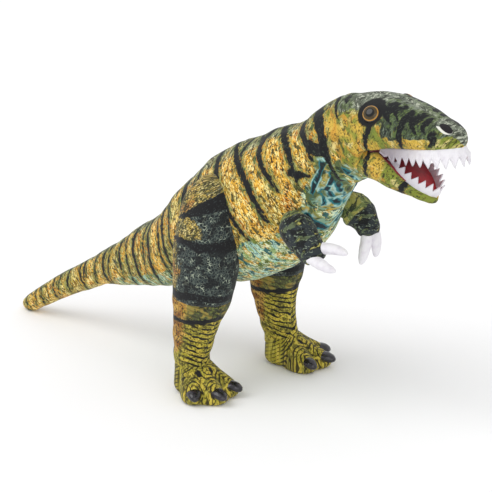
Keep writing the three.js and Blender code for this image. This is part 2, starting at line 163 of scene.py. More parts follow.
def lip_outline(points: np.ndarray, plane: np.ndarray, start: float) -> np.ndarray:
    """The edge of a jaw's flat face: in each ring, the widest point that lies within 1.2 mm of the lip
    plane.

    Args:
        points: (rows, around, 3) of the jaw.
        plane: height of the lip plane at each point.
        start: the outline starts ahead of this x.
    Returns:
        x and half width, one row for each ring that reaches the plane.
    """
    flat = (np.abs(points[..., 2] - plane) < 1.2) & (points[..., 0] > start)
    reach = np.where(flat, np.abs(points[..., 1]), -1.0)
    pick = reach.argmax(axis=1)
    rows = np.flatnonzero(reach.max(axis=1) > 0.5)
    return np.stack([points[rows, pick[rows], 0], reach[rows, pick[rows]]], -1)


END_SHARES = np.array([0.985, 0.94, 0.8, 0.45])      # the rings that close an end, as shares of its last row
END_SINKS = np.array([0.25, 0.6, 1.0, 1.0])          # how deep each of them lies, as a share of the tuck


def with_ends(rows: np.ndarray) -> np.ndarray:
    """Repeats the first and the last row once for each ring that closes an end."""
    extra = len(END_SHARES)
    return np.concatenate([np.repeat(rows[:1], extra, 0), rows, np.repeat(rows[-1:], extra, 0)])


@dataclass
class Surface:
    """A surface on a grid that closes round its second direction, with cloth coordinates and printed marks.

    points is (rows, around, 3) in pattern millimetres, cloth is (rows, around + 1, 2) in millimetres along
    and round the cloth, and each mark is (rows, around).
    """
    points: np.ndarray
    cloth: np.ndarray
    marks: dict[str, np.ndarray] = field(default_factory=dict)

    def normals(self) -> np.ndarray:
        """Unit normals: the cross product of the two grid directions, turned away from the rows' middles."""
        along = np.gradient(self.points, axis=0)
        across = np.roll(self.points, -1, axis=1) - np.roll(self.points, 1, axis=1)
        normal = np.cross(along, across)
        normal /= np.linalg.norm(normal, axis=2, keepdims=True) + 1e-9
        outward = self.points - self.points.mean(axis=1, keepdims=True)
        return normal if (normal * outward).sum() > 0 else -normal

    def push(self, distance: np.ndarray) -> None:
        """Moves each point along its normal by that many millimetres."""
        self.points = self.points + self.normals() * distance[..., None]

    def part(self, first: int, last: int) -> "Surface":
        """The rows from first up to and including last, as a surface of their own."""
        rows = slice(first, last + 1)
        return Surface(self.points[rows], self.cloth[rows], {k: v[rows] for k, v in self.marks.items()})

    def capped(self, tuck: tuple) -> tuple[np.ndarray, np.ndarray]:
        """Adds the rings that close each end: a ring is its end row times its share, sunk inwards by its
        share of the tuck.

        Args:
            tuck: depth of the rolled edge at the first and at the last row.
        Returns:
            The grid with those rings, and the pole in the middle of each end.
        """
        ends = []
        for row, inner, depth in ((0, 1, tuck[0]), (-1, -2, tuck[1])):
            middle = self.points[row].mean(axis=0)
            inward = self.points[inner].mean(axis=0) - middle
            inward /= np.linalg.norm(inward) + 1e-9
            shrunk = (self.points[row] - middle) * END_SHARES[:, None, None]
            sink = (depth * END_SINKS)[:, None, None]
            ends.append((middle + shrunk + inward * sink, middle + inward * depth))
        (first, low), (last, high) = ends
        return np.concatenate([first[::-1], self.points, last]), np.stack([low, high])

    def build(self, name: str, material: bpy.types.Material, tuck: tuple = (0.0, 0.0)) -> bpy.types.Object:
        """Closes both ends and makes the mesh. An end with a tuck rolls inwards over that many millimetres,
        as a sewn edge does, and an end without one stays flush with the cloth that it meets.

        Args:
            name: the piece's name.
            material: its finish.
            tuck: depth of the rolled edge at the first and at the last row.
        Returns:
            The object, at the world's origin.
        """
        grid, poles = self.capped(tuck)
        cloth = with_ends(self.cloth)
        rows, around = grid.shape[:2]
        vertices = np.concatenate([grid.reshape(-1, 3), poles])
        i, j = np.meshgrid(np.arange(rows - 1), np.arange(around), indexing="ij")
        k = (j + 1) % around
        quads = np.stack([i * around + j, i * around + k, (i + 1) * around + k, (i + 1) * around + j], -1)
        corner = np.stack([cloth[i, j], cloth[i, j + 1], cloth[i + 1, j + 1], cloth[i + 1, j]], -2)
        low, high, ring = rows * around, rows * around + 1, np.arange(around)
        after, last = (ring + 1) % around, (rows - 1) * around
        fans = np.concatenate([np.stack([np.full(around, low), after, ring], -1),
                               np.stack([np.full(around, high), last + ring, last + after], -1)])
        fan_cloth = np.concatenate([np.stack([cloth[0, :-1], cloth[0, 1:], cloth[0, :-1]], 1),
                                    np.stack([cloth[-1, :-1], cloth[-1, :-1], cloth[-1, 1:]], 1)])
        quads, corner = quads.reshape(-1, 4), corner.reshape(-1, 4, 2)
        a, b, c, d = (vertices[quads[:, n]] for n in range(4))
        if (a * (np.cross(b, c) + np.cross(c, d))).sum() < 0:      # the volume's sign: turn the faces out
            quads, corner = quads[:, ::-1], corner[:, ::-1]
            fans, fan_cloth = fans[:, ::-1], fan_cloth[:, ::-1]
        mesh = bpy.data.meshes.new(name)
        mesh.from_pydata(to_frame(vertices).tolist(), [], quads.tolist() + fans.tolist())
        uv = np.concatenate([corner.reshape(-1, 2), fan_cloth.reshape(-1, 2)]) * MM
        mesh.uv_layers.new(name="cloth").data.foreach_set("uv", uv.astype(np.float32).ravel())
        for key, mark in self.marks.items():
            flat = np.concatenate([with_ends(mark).ravel(), [mark[0].mean(), mark[-1].mean()]])
            mesh.attributes.new(key, "FLOAT", "POINT").data.foreach_set("value", flat.astype(np.float32))
        edges = np.empty(len(mesh.edges) * 2, np.int32)
        mesh.edges.foreach_get("vertices", edges)
        edges = edges.reshape(-1, 2) // around
        extra = len(END_SHARES)
        flush = [row for row, depth in ((extra, tuck[0]), (rows - 1 - extra, tuck[1])) if depth == 0]
        sharp = (edges[:, 0] == edges[:, 1]) & np.isin(edges[:, 0], flush)
        mesh.attributes.new("sharp_edge", "BOOLEAN", "EDGE").data.foreach_set("value", sharp)
        return dress(name, mesh, material)


def dress(name: str, mesh: bpy.types.Mesh, material: bpy.types.Material) -> bpy.types.Object:
    """Smooths a mesh's shading, gives it its finish and puts it in the scene as an object at the origin."""
    mesh.polygons.foreach_set("use_smooth", np.ones(len(mesh.polygons), bool))
    mesh.materials.append(material)
    mesh.update()
    piece = bpy.data.objects.new(name, mesh)
    bpy.context.scene.collection.objects.link(piece)
    return piece


def thin_piece(name: str, grid: np.ndarray, painted_shade: tuple, material: bpy.types.Material,
               thickness: float) -> bpy.types.Object:
    """Makes an open sheet from a grid of points and gives it its thickness, half to each side.

    Args:
        name: the piece's name.
        grid: (rows, wide, 3) in pattern millimetres.
        painted_shade: the x range of the painted shade: the mark deep is 1 behind the first x and 0 ahead of
            the second, and the finish paints shade there at the back of the mouth.
        material: its finish.
        thickness: in millimetres.
    Returns:
        The object, at the world's origin.
    """
    rows, wide = grid.shape[:2]
    index = np.arange(rows * wide).reshape(rows, wide)
    quads = np.stack([index[:-1, :-1], index[:-1, 1:], index[1:, 1:], index[1:, :-1]], -1).reshape(-1, 4)
    mesh = bpy.data.meshes.new(name)
    mesh.from_pydata(to_frame(grid.reshape(-1, 3)).tolist(), [], quads.tolist())
    # deep is painted shade: 0 towards the front of the mouth and 1 at its back
    deep = 1 - ease(*painted_shade, grid[..., 0])
    mesh.attributes.new("deep", "FLOAT", "POINT").data.foreach_set("value", deep.astype(np.float32).ravel())
    piece = dress(name, mesh, material)
    thick = piece.modifiers.new("thickness", "SOLIDIFY")
    thick.thickness, thick.offset = thickness * MM, 0.0
    return piece


def rings(middles: np.ndarray, side: np.ndarray, up: np.ndarray, wide: np.ndarray, high: np.ndarray,
          around: int, square: float = 2.0) -> Surface:
    """Rings carried along a path. A ring is middle + up * high * cos(a) + side * wide * sin(a), with both
    shares raised to 2 / square, so that 2 is an ellipse and more is a fuller section.

    Args:
        middles: path, one row per ring.
        side: unit vector of each ring at a = 90 degrees.
        up: unit vector of each ring at a = 0.
        wide: half width along side.
        high: half height along up.
        around: points in a ring.
        square: fullness of the section.
    Returns:
        The surface, with marks angle (degrees) and along (millimetres).
    """
    angle = np.linspace(0.0, 2 * np.pi, around + 1)
    cos, sin = np.cos(angle), np.sin(angle)
    power = 2.0 / square
    rise, reach = np.sign(cos) * np.abs(cos)**power, np.sign(sin) * np.abs(sin)**power
    points = (middles[:, None] + up[:, None] * (high[:, None] * rise)[..., None]
              + side[:, None] * (wide[:, None] * reach)[..., None])
    along = np.concatenate([[0.0], np.cumsum(np.linalg.norm(np.diff(middles, axis=0), axis=1))])
    girth = np.maximum(np.linalg.norm(np.diff(points, axis=1), axis=2).sum(axis=1), 1.0)
    cloth = np.stack([np.broadcast_to(along[:, None], points.shape[:2]),
                      girth[:, None] * (angle / (2 * np.pi) - 0.5)], -1)
    marks = {"angle": np.broadcast_to(np.degrees(angle[:-1]), points[:, :-1].shape[:2]).copy(),
             "along": np.broadcast_to(along[:, None], points[:, :-1].shape[:2]).copy()}
    return Surface(points[:, :-1], cloth, marks)


def spine_tube(stations: tuple, step: float, around: int,
               fullness: float) -> tuple[Surface, np.ndarray, np.ndarray, np.ndarray]:
    """Rings along a spine that lies in the toy's middle plane, square to it: up = (-way z, 0, way x).

    Args:
        stations: x, z, half width and half height of each station.
        step: distance between rings in millimetres.
        around: points in a ring.
        fullness: of the section, where 2 is an ellipse.
    Returns:
        The surface, and the middle, half width and half height of each ring.
    """
    table = smooth_rows(np.insert(np.asarray(stations, float), 1, 0.0, axis=1), step)
    middles, wide, high = table[:, :3], table[:, 3], table[:, 4]
    way = np.gradient(middles, axis=0)
    way /= np.linalg.norm(way, axis=1, keepdims=True)
    up = np.stack([-way[:, 2], np.zeros(len(way)), way[:, 0]], -1)
    side = np.broadcast_to([0.0, -1.0, 0.0], up.shape)
    tube = rings(middles, side, up, np.maximum(wide, 0.5), np.maximum(high, 0.5), around, fullness)
    return tube, middles, wide, high


def limb(path: np.ndarray, wide: np.ndarray, high: np.ndarray, around: int,
         across: tuple = (0.0, 1.0, 0.0)) -> Surface:
    """Rings square to a path of any direction: side = across made square to the path, up = side x path."""
    way = np.gradient(path, axis=0)
    way /= np.linalg.norm(way, axis=1, keepdims=True)
    side = np.array(across) - way * (way @ np.array(across))[:, None]
    side /= np.linalg.norm(side, axis=1, keepdims=True)
    return rings(path, side, np.cross(way, side), wide, high, around)


# ---- finishes ----------------------------------------------------------------------------------------
class Cloth(Enum):
    """How a sewn surface is made, with its pile: roughness, sheen, and height of its nap in millimetres."""
    SHORT_PILE = (0.86, 0.08, 0.22)
    SATIN = (0.45, 0.25, 0.04)
    FELT = (0.95, 0.15, 0.16)


@dataclass(frozen=True)
class Layer:
    """One colour laid on, a print or painted light and shade: what it is laid over, by how much, and where.
    """
    colour: str | bpy.types.NodeSocket
    share: bpy.types.NodeSocket | float


@dataclass(frozen=True)
class Fleck:
    """One colour of a mottled print: the pattern it follows, where the colour starts and where it is full
    along that pattern, and how much it covers there."""
    colour: str
    pattern: str
    low: float
    high: float
    share: float = 1.0


@dataclass(frozen=True)
class Grain:
    """One noise laid on the cloth: the length and width of its clouds in millimetres, where it starts, how
    much fine detail it has and how far it is warped."""
    along: float
    across: float
    start: float = 0.0
    detail: float = 3.0
    warp: float = 0.0


class Finish:
    """A material's node tree, with the few patterns that the toy's finishes are mixed from."""

    def __init__(self, name: str) -> None:
        """Starts an empty material of that name."""
        self.material = bpy.data.materials.new(name)
        self.material.use_nodes = True
        self.tree = self.material.node_tree
        self.tree.nodes.clear()

    def mark(self, name: str) -> bpy.types.NodeSocket:
        """A mark carried by the mesh."""
        return add_node(self.tree, "ShaderNodeAttribute", attribute_name=name).outputs["Fac"]

    def cloth(self, along: float, across: float, start: float = 0.0) -> bpy.types.NodeSocket:
        """Cloth coordinates counted in grains of the given length and width in millimetres."""
        uv = add_node(self.tree, "ShaderNodeUVMap", uv_map="cloth").outputs[0]
        scale = (1 / (along * MM), 1 / (across * MM), 1.0)
        return add_node(self.tree, "ShaderNodeMapping", {0: uv, 1: (start,) * 3, 3: scale}).outputs[0]

    def solid(self, grain: float) -> bpy.types.NodeSocket:
        """Object coordinates counted in grains of that many millimetres."""
        place = add_node(self.tree, "ShaderNodeTexCoord").outputs["Object"]
        return add_node(self.tree, "ShaderNodeMapping", {0: place, 3: (1 / (grain * MM),) * 3}).outputs[0]

    def noise(self, at: bpy.types.NodeSocket, detail: float = 2.0, warp: float = 0.0) -> bpy.types.NodeSocket:
        """Cloudy noise from 0 to 1, one cloud to a grain."""
        return add_node(self.tree, "ShaderNodeTexNoise", {"Vector": at, "Scale": 1.0, "Detail": detail,
                                                           "Distortion": warp}).outputs["Fac"]

    def grains(self, **kinds: Grain) -> dict[str, bpy.types.NodeSocket]:
        """Makes the noises of a print, by name."""
        return {name: self.noise(self.cloth(g.along, g.across, g.start), g.detail, g.warp)
                for name, g in kinds.items()}

    def maths(self, kind: str, *values: bpy.types.NodeSocket | float) -> bpy.types.NodeSocket:
        """One arithmetic step."""
        return add_node(self.tree, "ShaderNodeMath", dict(enumerate(values)), operation=kind).outputs[0]

    def step(self, value: bpy.types.NodeSocket, low: float, high: float) -> bpy.types.NodeSocket:
        """A smooth step from 0 at low to 1 at high; low may be the larger."""
        near, far, top, bottom = (low, high, 1.0, 0.0) if low < high else (high, low, 0.0, 1.0)
        return add_node(self.tree, "ShaderNodeMapRange", {0: value, 1: near, 2: far, 3: bottom, 4: top},
                        interpolation_type="SMOOTHSTEP").outputs[0]

    def lay(self, under: bpy.types.NodeSocket | tuple, *layers: Layer) -> bpy.types.NodeSocket:
        """Lays the colours one over another, print and painted light and shade alike: under * (1 - share) +
        colour * share.
        """
        for layer in layers:
            colour = linear(layer.colour) if isinstance(layer.colour, str) else layer.colour
            under = add_node(self.tree, "ShaderNodeMix", {0: layer.share, 6: under, 7: colour},
                             data_type="RGBA").outputs[2]
        return under

    def mottle(self, ground: tuple, grain: dict[str, bpy.types.NodeSocket]) -> bpy.types.NodeSocket:
        """Prints a ground, which is a base colour and its flecks, each where its own pattern calls for
        it."""
        base, flecks = ground
        layers = [Layer(fleck.colour, self.maths("MULTIPLY", fleck.share, self.step(
            grain[fleck.pattern], fleck.low, fleck.high))) for fleck in flecks]
        return self.lay(linear(base), *layers)

    def sway(self, value: bpy.types.NodeSocket, pattern: bpy.types.NodeSocket,
             size: float) -> bpy.types.NodeSocket:
        """Frays a value by a pattern: value + (pattern - 0.5) * size."""
        return self.maths("ADD", value, self.maths("MULTIPLY", self.maths("SUBTRACT", pattern, 0.5), size))

    def crackle(self, pattern: bpy.types.NodeSocket) -> bpy.types.NodeSocket:
        """How far a pattern is from its middle value, which is 0 along thin crooked lines."""
        return self.maths("ABSOLUTE", self.maths("SUBTRACT", pattern, 0.5))

    def finish(self, colour: bpy.types.NodeSocket | tuple, height: bpy.types.NodeSocket | None, depth: float,
               roughness: bpy.types.NodeSocket | float, **extra: float) -> bpy.types.Material:
        """Joins the colour and the relief to the surface.

        Args:
            colour: base colour.
            height: relief from 0 to 1.
            depth: height of the relief in millimetres.
            roughness: of the surface.
            extra: other inputs of the shader, by name with _ for a space.
        Returns:
            The material.
        """
        inputs = {"Base Color": colour, "Roughness": roughness}
        inputs.update({name.replace("_", " "): value for name, value in extra.items()})
        if height is not None:
            relief = {"Height": height, "Distance": depth * MM, "Strength": 1.0}
            inputs["Normal"] = add_node(self.tree, "ShaderNodeBump", relief).outputs[0]
        shader = add_node(self.tree, "ShaderNodeBsdfPrincipled", inputs)
        add_node(self.tree, "ShaderNodeOutputMaterial", {0: shader.outputs[0]})
        return self.material

    def pile(self, colour: bpy.types.NodeSocket, cloth: Cloth, grain: float = 0.9) -> bpy.types.Material:
        """Finishes a napped cloth: the nap lies in short tufts, drawn about twice as coarse as they are so
        that they show, and catches a soft sheen at the edges."""
        roughness, sheen, nap = cloth.value
        tufts = self.noise(self.solid(grain), 3.0)
        return self.finish(colour, tufts, nap, roughness, Sheen_Weight=sheen, Sheen_Roughness=0.45, IOR=1.46)


@dataclass(frozen=True)
class FlankPrint:
    """Short-pile polyester plush, printed: gold flanks crazed with umber and cream, ragged near-black
    stripes with a green edge, a grey-green back, a mint belly and a throat lined with teal. Streaks run
    round the body."""
    navy: str = "0b0d10"
    flank: tuple = ("f0b83c", (
        Fleck("d07a22", "spots", 0.51, 0.60, 0.75), Fleck("a09a44", "clouds", 0.49, 0.60, 0.75),
        Fleck("fbea9c", "streaks", 0.51, 0.55, 0.9), Fleck("a87824", "streaks", 0.45, 0.38, 0.85),
        Fleck("3f421c", "patches", 0.56, 0.60, 0.9), Fleck("30220a", "crazing", 0.025, 0.009, 0.9),
        Fleck("221d0e", "fine", 0.57, 0.61, 0.9)))
    back: tuple = ("8e8c5c", (
        Fleck("cbac52", "spots", 0.49, 0.60, 0.7), Fleck("54583f", "clouds", 0.46, 0.58, 0.7),
        Fleck("e2e2b4", "streaks", 0.52, 0.56, 0.9), Fleck("262a1a", "patches", 0.52, 0.57, 0.95),
        Fleck("1f2116", "crazing", 0.032, 0.010, 0.95)))
    crown: tuple = ("7b8372", (
        Fleck("575d4e", "clouds", 0.45, 0.58, 0.9), Fleck("bfc4b0", "streaks", 0.52, 0.58, 0.85),
        Fleck("25281f", "patches", 0.53, 0.60, 0.9), Fleck("2a2a22", "crazing", 0.028, 0.008, 0.9)))
    snout: tuple = ("3f4a3a", (
        Fleck("8a8834", "spots", 0.53, 0.62, 0.9), Fleck("7c8a76", "streaks", 0.52, 0.58, 0.75),
        Fleck("1e2520", "patches", 0.47, 0.54, 0.95), Fleck("2b2f22", "crazing", 0.028, 0.008, 0.8)))
    cheek: tuple = ("d3b046", (
        Fleck("7f8a32", "clouds", 0.45, 0.54), Fleck("cf9434", "spots", 0.53, 0.62, 0.7),
        Fleck("e6d68c", "broad", 0.54, 0.64, 0.8), Fleck("3b4220", "patches", 0.58, 0.65, 0.85),
        Fleck("6a5a1e", "crazing", 0.026, 0.008, 0.7), Fleck("2e2d14", "fine", 0.57, 0.63, 0.85)))
    belly: tuple = ("93ae6e", (
        Fleck("cfa03a", "flow", 0.50, 0.55), Fleck("6c7a30", "broad", 0.50, 0.58),
        Fleck("a8cfc0", "flow", 0.46, 0.40),
        Fleck("e9f0c4", "streaks", 0.52, 0.56, 0.85), Fleck("175b60", "patches", 0.56, 0.59, 0.95),
        Fleck("2a3a18", "crazing", 0.030, 0.010, 0.9)))
    throat: tuple = ("8a8a44", (
        Fleck("b9a24a", "spots", 0.48, 0.58), Fleck("4c603c", "broad", 0.52, 0.60, 0.9),
        Fleck("7fa68c", "flow", 0.53, 0.60, 0.9), Fleck("263422", "patches", 0.55, 0.62, 0.9)))

    def areas(self, f: Finish, grain: dict[str, bpy.types.NodeSocket]) -> bpy.types.NodeSocket:
        """The mottled ground of every area, each laid over the one before where its mark says."""
        colour = f.mottle(self.flank, grain)
        for name, ground, pattern, sway, low, high in (
                ("cheek", self.cheek, "spots", 1.2, 0.4, 0.65),
                ("back", self.back, "patches", 2.0, 0.35, 0.75),
                ("crown", self.crown, "patches", 1.4, 0.40, 0.70),
                ("snout", self.snout, "broad", 2.6, 0.40, 0.65),
                ("belly", self.belly, "spots", 1.6, 0.40, 0.62)):
            share = f.step(f.sway(f.mark(name), grain[pattern], sway), low, high)
            colour = f.lay(colour, Layer(f.mottle(ground, grain), share))
        vein = f.sway(f.sway(f.mark("vein"), grain["ragged"], 3.5), grain["broad"], 3.5)
        throat = f.mottle(self.throat, grain)
        for ink, start, full, pattern, low, high in (
                ("a4ccc4", 6.5, 2.0, "broad", 0.56, 0.46), ("24747c", 2.4, 1.0, "spots", 0.36, 0.46),
                ("16242a", 0.4, -0.8, "spots", 0.40, 0.50)):
            worn = f.step(grain[pattern], low, high)
            throat = f.lay(throat, Layer(ink, f.maths("MULTIPLY", f.step(vein, start, full), worn)))
        share = f.step(f.sway(f.mark("throat"), grain["broad"], 1.2), 0.35, 0.65)
        return f.lay(colour, Layer(throat, share))

    def make(self) -> bpy.types.Material:
        """Builds the material."""
        f = Finish("printed_plush_flank")
        grain = f.grains(clouds=Grain(34, 46, warp=0.6), spots=Grain(11, 18, 7.0, warp=0.5),
                         streaks=Grain(2.4, 7.0, warp=1.3), fine=Grain(2.2, 3.4, 3.0, warp=1.0),
                         patches=Grain(4.6, 11.0, 11.0, 4.0, 1.0), flow=Grain(9, 30, 17.0, warp=1.4),
                         ragged=Grain(2.4, 5.0, 5.0, warp=0.5), broad=Grain(15, 17, 23.0, warp=0.6))
        grain["crazing"] = f.crackle(f.noise(f.cloth(4.2, 8.0, 31.0), 2.0, 1.0))
        colour = self.areas(f, grain)
        edge = f.sway(f.mark("stripe"), grain["ragged"], 7.0)
        halo = f.maths("MULTIPLY", f.step(edge, 7.0, 0.8), f.step(grain["streaks"], 0.40, 0.56))
        colour = f.lay(colour, Layer("5b6f38", f.maths("MULTIPLY", halo, 0.75)))
        worn = f.maths("MULTIPLY", f.step(grain["fine"], 0.57, 0.65), 0.35)
        ink = f.lay(linear(self.navy), Layer("4d5a48", worn))
        eye = f.sway(f.mark("socket"), grain["ragged"], 4.0)
        colour = f.lay(colour, Layer(ink, f.step(edge, 0.8, -0.8)),
                       Layer("e4e4da", f.step(f.mark("nostril_rim"), 1.6, 0.8)),
                       Layer("140e14", f.step(f.mark("nostril"), 0.4, -0.4)),
                       Layer("0e0f11", f.step(eye, 1.2, -0.8)))
        return f.pile(colour, Cloth.SHORT_PILE)


@dataclass(frozen=True)
class ThighPrint:
    """Short-pile plush printed with pebbly scales: near-black cells with a grey-teal net between them that
    turns gold towards the back and the hip, under broad ragged black bands."""
    front: tuple = ("11171a", (
        Fleck("2c3636", "fine", 0.50, 0.58), Fleck("525c55", "net", 0.12, 0.03, 0.85),
        Fleck("a3ad98", "bright_net", 0.10, 0.03, 0.9), Fleck("0a0d10", "broad", 0.52, 0.60, 0.85)))
    rear: tuple = ("b39a48", (
        Fleck("6b6632", "broad", 0.46, 0.56, 0.95), Fleck("e2d08a", "streaks", 0.52, 0.58, 0.85),
        Fleck("b9742a", "clouds", 0.54, 0.64, 0.6), Fleck("26221a", "net", 0.12, 0.04, 0.95),
        Fleck("33351f", "patches", 0.54, 0.60, 0.9)))
    cell: float = 3.0

    def make(self) -> bpy.types.Material:
        """Builds the material."""
        f = Finish("printed_plush_thigh")
        grain = f.grains(clouds=Grain(22, 22, 4.0, warp=0.5), wobble=Grain(6, 6, detail=2.0),
                         broad=Grain(10, 14, 9.0, warp=0.6), fine=Grain(2.0, 2.0, 5.0, warp=0.5),
                         streaks=Grain(6.0, 2.2, 2.0, warp=1.0), patches=Grain(7, 4, 8.0, warp=0.8))
        packed = {"Vector": f.cloth(self.cell, self.cell), "Scale": 1.0, "Randomness": 1.0}
        cells = add_node(f.tree, "ShaderNodeTexVoronoi", packed, feature="DISTANCE_TO_EDGE").outputs[0]
        grain["net"] = f.sway(cells, grain["fine"], 0.35)
        grain["bright_net"] = f.maths("ADD", f.sway(cells, grain["wobble"], 0.8), 0.10)
        colour = f.mottle(self.front, grain)
        warm = f.sway(f.sway(f.mark("warm"), grain["clouds"], 1.3), grain["patches"], 0.7)
        colour = f.lay(colour, Layer(f.mottle(self.rear, grain), f.step(warm, 0.45, 0.65)))
        edge = f.sway(f.sway(f.mark("stripe"), grain["wobble"], 6.0), grain["fine"], 3.0)
        worn = f.maths("MULTIPLY", f.step(grain["fine"], 0.58, 0.66), 0.6)
        ink = f.lay(linear("0a0b0e"), Layer("3d4646", worn))
        return f.pile(f.lay(colour, Layer(ink, f.step(edge, 0.8, -0.8))), Cloth.SHORT_PILE)


@dataclass(frozen=True)
class FootPrint:
    """Short-pile plush printed as scutes: yellow-green plates parted by dark lines, with amber and dark
    patches; its near-black ink is printed bands on the shin and painted shade in the hollows between the
    toes."""
    plates: tuple = ("9f942c", (
        Fleck("c6b040", "clouds", 0.46, 0.56, 0.95), Fleck("6f6926", "patches", 0.48, 0.58, 0.9),
        Fleck("3f3a12", "fine", 0.52, 0.59, 0.85), Fleck("d3c95c", "fine", 0.46, 0.38, 0.5)))
    rear: tuple = ("b08436", (
        Fleck("8a5a1c", "patches", 0.46, 0.56), Fleck("d0a850", "clouds", 0.48, 0.58, 0.8),
        Fleck("2e210c", "fine", 0.51, 0.58, 0.9)))
    knee: tuple = ("4a4c30", (
        Fleck("2a2c1c", "patches", 0.48, 0.56), Fleck("a08c40", "clouds", 0.50, 0.58, 0.8),
        Fleck("77803c", "fine", 0.52, 0.60, 0.7)))
    dark: str = "16150a"

    def make(self) -> bpy.types.Material:
        """Builds the material."""
        f = Finish("printed_plush_foot")
        grain = f.grains(clouds=Grain(9, 12, warp=0.5), fine=Grain(2.4, 2.4, 2.0, warp=0.6),
                         patches=Grain(13, 13, 6.0, warp=0.6), blots=Grain(6, 16, 12.0, warp=0.6))
        wave = f.maths("PINGPONG", f.sway(f.mark("scute"), grain["clouds"], 0.9), 0.5)
        broken = f.maths("MULTIPLY", f.step(grain["blots"], 0.30, 0.60), 0.22)
        colour = f.mottle(self.plates, grain)
        amber = f.step(f.sway(f.mark("warm"), grain["clouds"], 1.0), 0.4, 0.65)
        colour = f.lay(colour, Layer(f.mottle(self.rear, grain), amber))
        knee = f.step(f.sway(f.mark("knee"), grain["clouds"], 1.2), 0.4, 0.65)
        colour = f.lay(colour, Layer(f.mottle(self.knee, grain), knee))
        line = f.step(f.maths("SUBTRACT", wave, broken), 0.03, -0.02)
        # the near-black ink of the stripe mark: print on the shin, painted shade between the toes
        edge = f.sway(f.sway(f.mark("stripe"), grain["clouds"], 5.0), grain["fine"], 3.0)
        colour = f.lay(colour, Layer(self.dark, f.maths("MULTIPLY", line, f.mark("lined"))),
                       Layer("0c0e10", f.step(edge, 0.9, -0.9)))
        roughness, sheen, nap = Cloth.SHORT_PILE.value
        relief = f.step(wave, 0.02, 0.2)
        tufts = f.noise(f.solid(0.9), 3.0)
        height = f.maths("ADD", f.maths("MULTIPLY", relief, 0.7), f.maths("MULTIPLY", tufts, 0.3))
        return f.finish(colour, height, nap * 2, roughness, Sheen_Weight=sheen, Sheen_Roughness=0.45,
                        IOR=1.46)


@dataclass(frozen=True)
class ArmPrint:
    """Short-pile plush: slate and near-black in soft bands, with a few gold-green strokes, greener at the
    shoulder."""
    sleeve: tuple = ("282f32", (
        Fleck("0c1012", "clouds", 0.46, 0.53), Fleck("5d6a4a", "streaks", 0.57, 0.63, 0.9),
        Fleck("8c9a84", "fine", 0.59, 0.66, 0.7)))
    shoulder: tuple = ("6f7c46", (
        Fleck("a9a457", "clouds", 0.48, 0.56), Fleck("2b3526", "streaks", 0.53, 0.60, 0.95),
        Fleck("c6c88c", "fine", 0.58, 0.65, 0.7)))

    def make(self) -> bpy.types.Material:
        """Builds the material."""
        f = Finish("printed_plush_arm")
        grain = f.grains(clouds=Grain(10, 16, warp=0.8), fine=Grain(2.2, 2.6, 2.0, warp=0.6),
                         streaks=Grain(5, 14, 6.0, warp=1.2))
        colour = f.mottle(self.sleeve, grain)
        wave = f.maths("PINGPONG", f.sway(f.mark("scute"), grain["clouds"], 1.6), 0.5)
        line = f.maths("MULTIPLY", f.step(wave, 0.10, 0.04), f.step(grain["clouds"], 0.50, 0.60))
        share = f.maths("MAXIMUM", line, f.step(f.sway(f.mark("warm"), grain["streaks"], 1.2), 0.4, 0.65))
        colour = f.lay(colour, Layer(f.mottle(self.shoulder, grain), share))
        return f.pile(colour, Cloth.SHORT_PILE)


@dataclass(frozen=True)
class PlainCloth:
    """A plain dyed cloth of one kind, with a faint unevenness in its dye, and for the mouth a painted shade
    towards its back.
    """
    name: str
    colour: str
    shade: str
    cloth: Cloth
    # colour of the shade painted deep in the mouth, where the mark deep is 1
    painted_shade: str | None = None

    def make(self) -> bpy.types.Material:
        """Builds the material. A cloth given a colour for the mouth's painted shade turns to that colour
        where its mark deep is 1, at the back of the mouth.
        """
        f = Finish(self.name)
        clouds = f.noise(f.solid(6.0), 3.0)
        colour = f.lay(linear(self.colour), Layer(self.shade, f.step(clouds, 0.4, 0.75)))
        # painted shade: darker where the mark deep is 1, at the back of the mouth
        if self.painted_shade:
            colour = f.lay(colour, Layer(self.painted_shade, f.mark("deep")))
        return f.pile(colour, self.cloth, 0.7)


@dataclass(frozen=True)
class ClawVinyl:
    """Padded glossy vinyl: near-black with a purple cast, soft wrinkles whose raised parts are painted a
    lighter purple as a highlight, yellow below."""
    black: str = "0f0b12"
    under: str = "b9a23a"

    def make(self) -> bpy.types.Material:
        """Builds the material."""
        f = Finish("glossy_vinyl_claw")
        creases = f.noise(f.solid(5.0), 2.0, 0.8)
        # 2b2230 on the raised creases is a painted highlight
        colour = f.lay(linear(self.black), Layer("2b2230", f.step(creases, 0.5, 0.7)),
                       Layer(self.under, f.step(f.mark("under"), 0.45, 0.6)))
        return f.finish(colour, creases, 0.5, 0.24, IOR=1.5, Coat_Weight=0.4, Coat_Roughness=0.15)


@dataclass(frozen=True)
class EyeAcrylic:
    """Moulded clear acrylic painted behind: black pupil, brown-olive iris, a thin gold ring and a black
    rim."""
    pupil: float = 4.4
    iris: float = 7.3
    ring: float = 8.0

    def make(self) -> bpy.types.Material:
        """Builds the material."""
        f = Finish("moulded_acrylic_eye")
        far = f.mark("far")
        colour = f.lay(linear("0b0b0c"), Layer("c08a2a", f.step(far, self.ring + 0.25, self.ring - 0.25)),
                       Layer("43361a", f.step(far, self.iris + 0.4, self.iris - 0.6)),
                       Layer("050506", f.step(far, self.pupil + 0.5, self.pupil - 0.3)))
        return f.finish(colour, None, 0.0, 0.05, IOR=1.49)


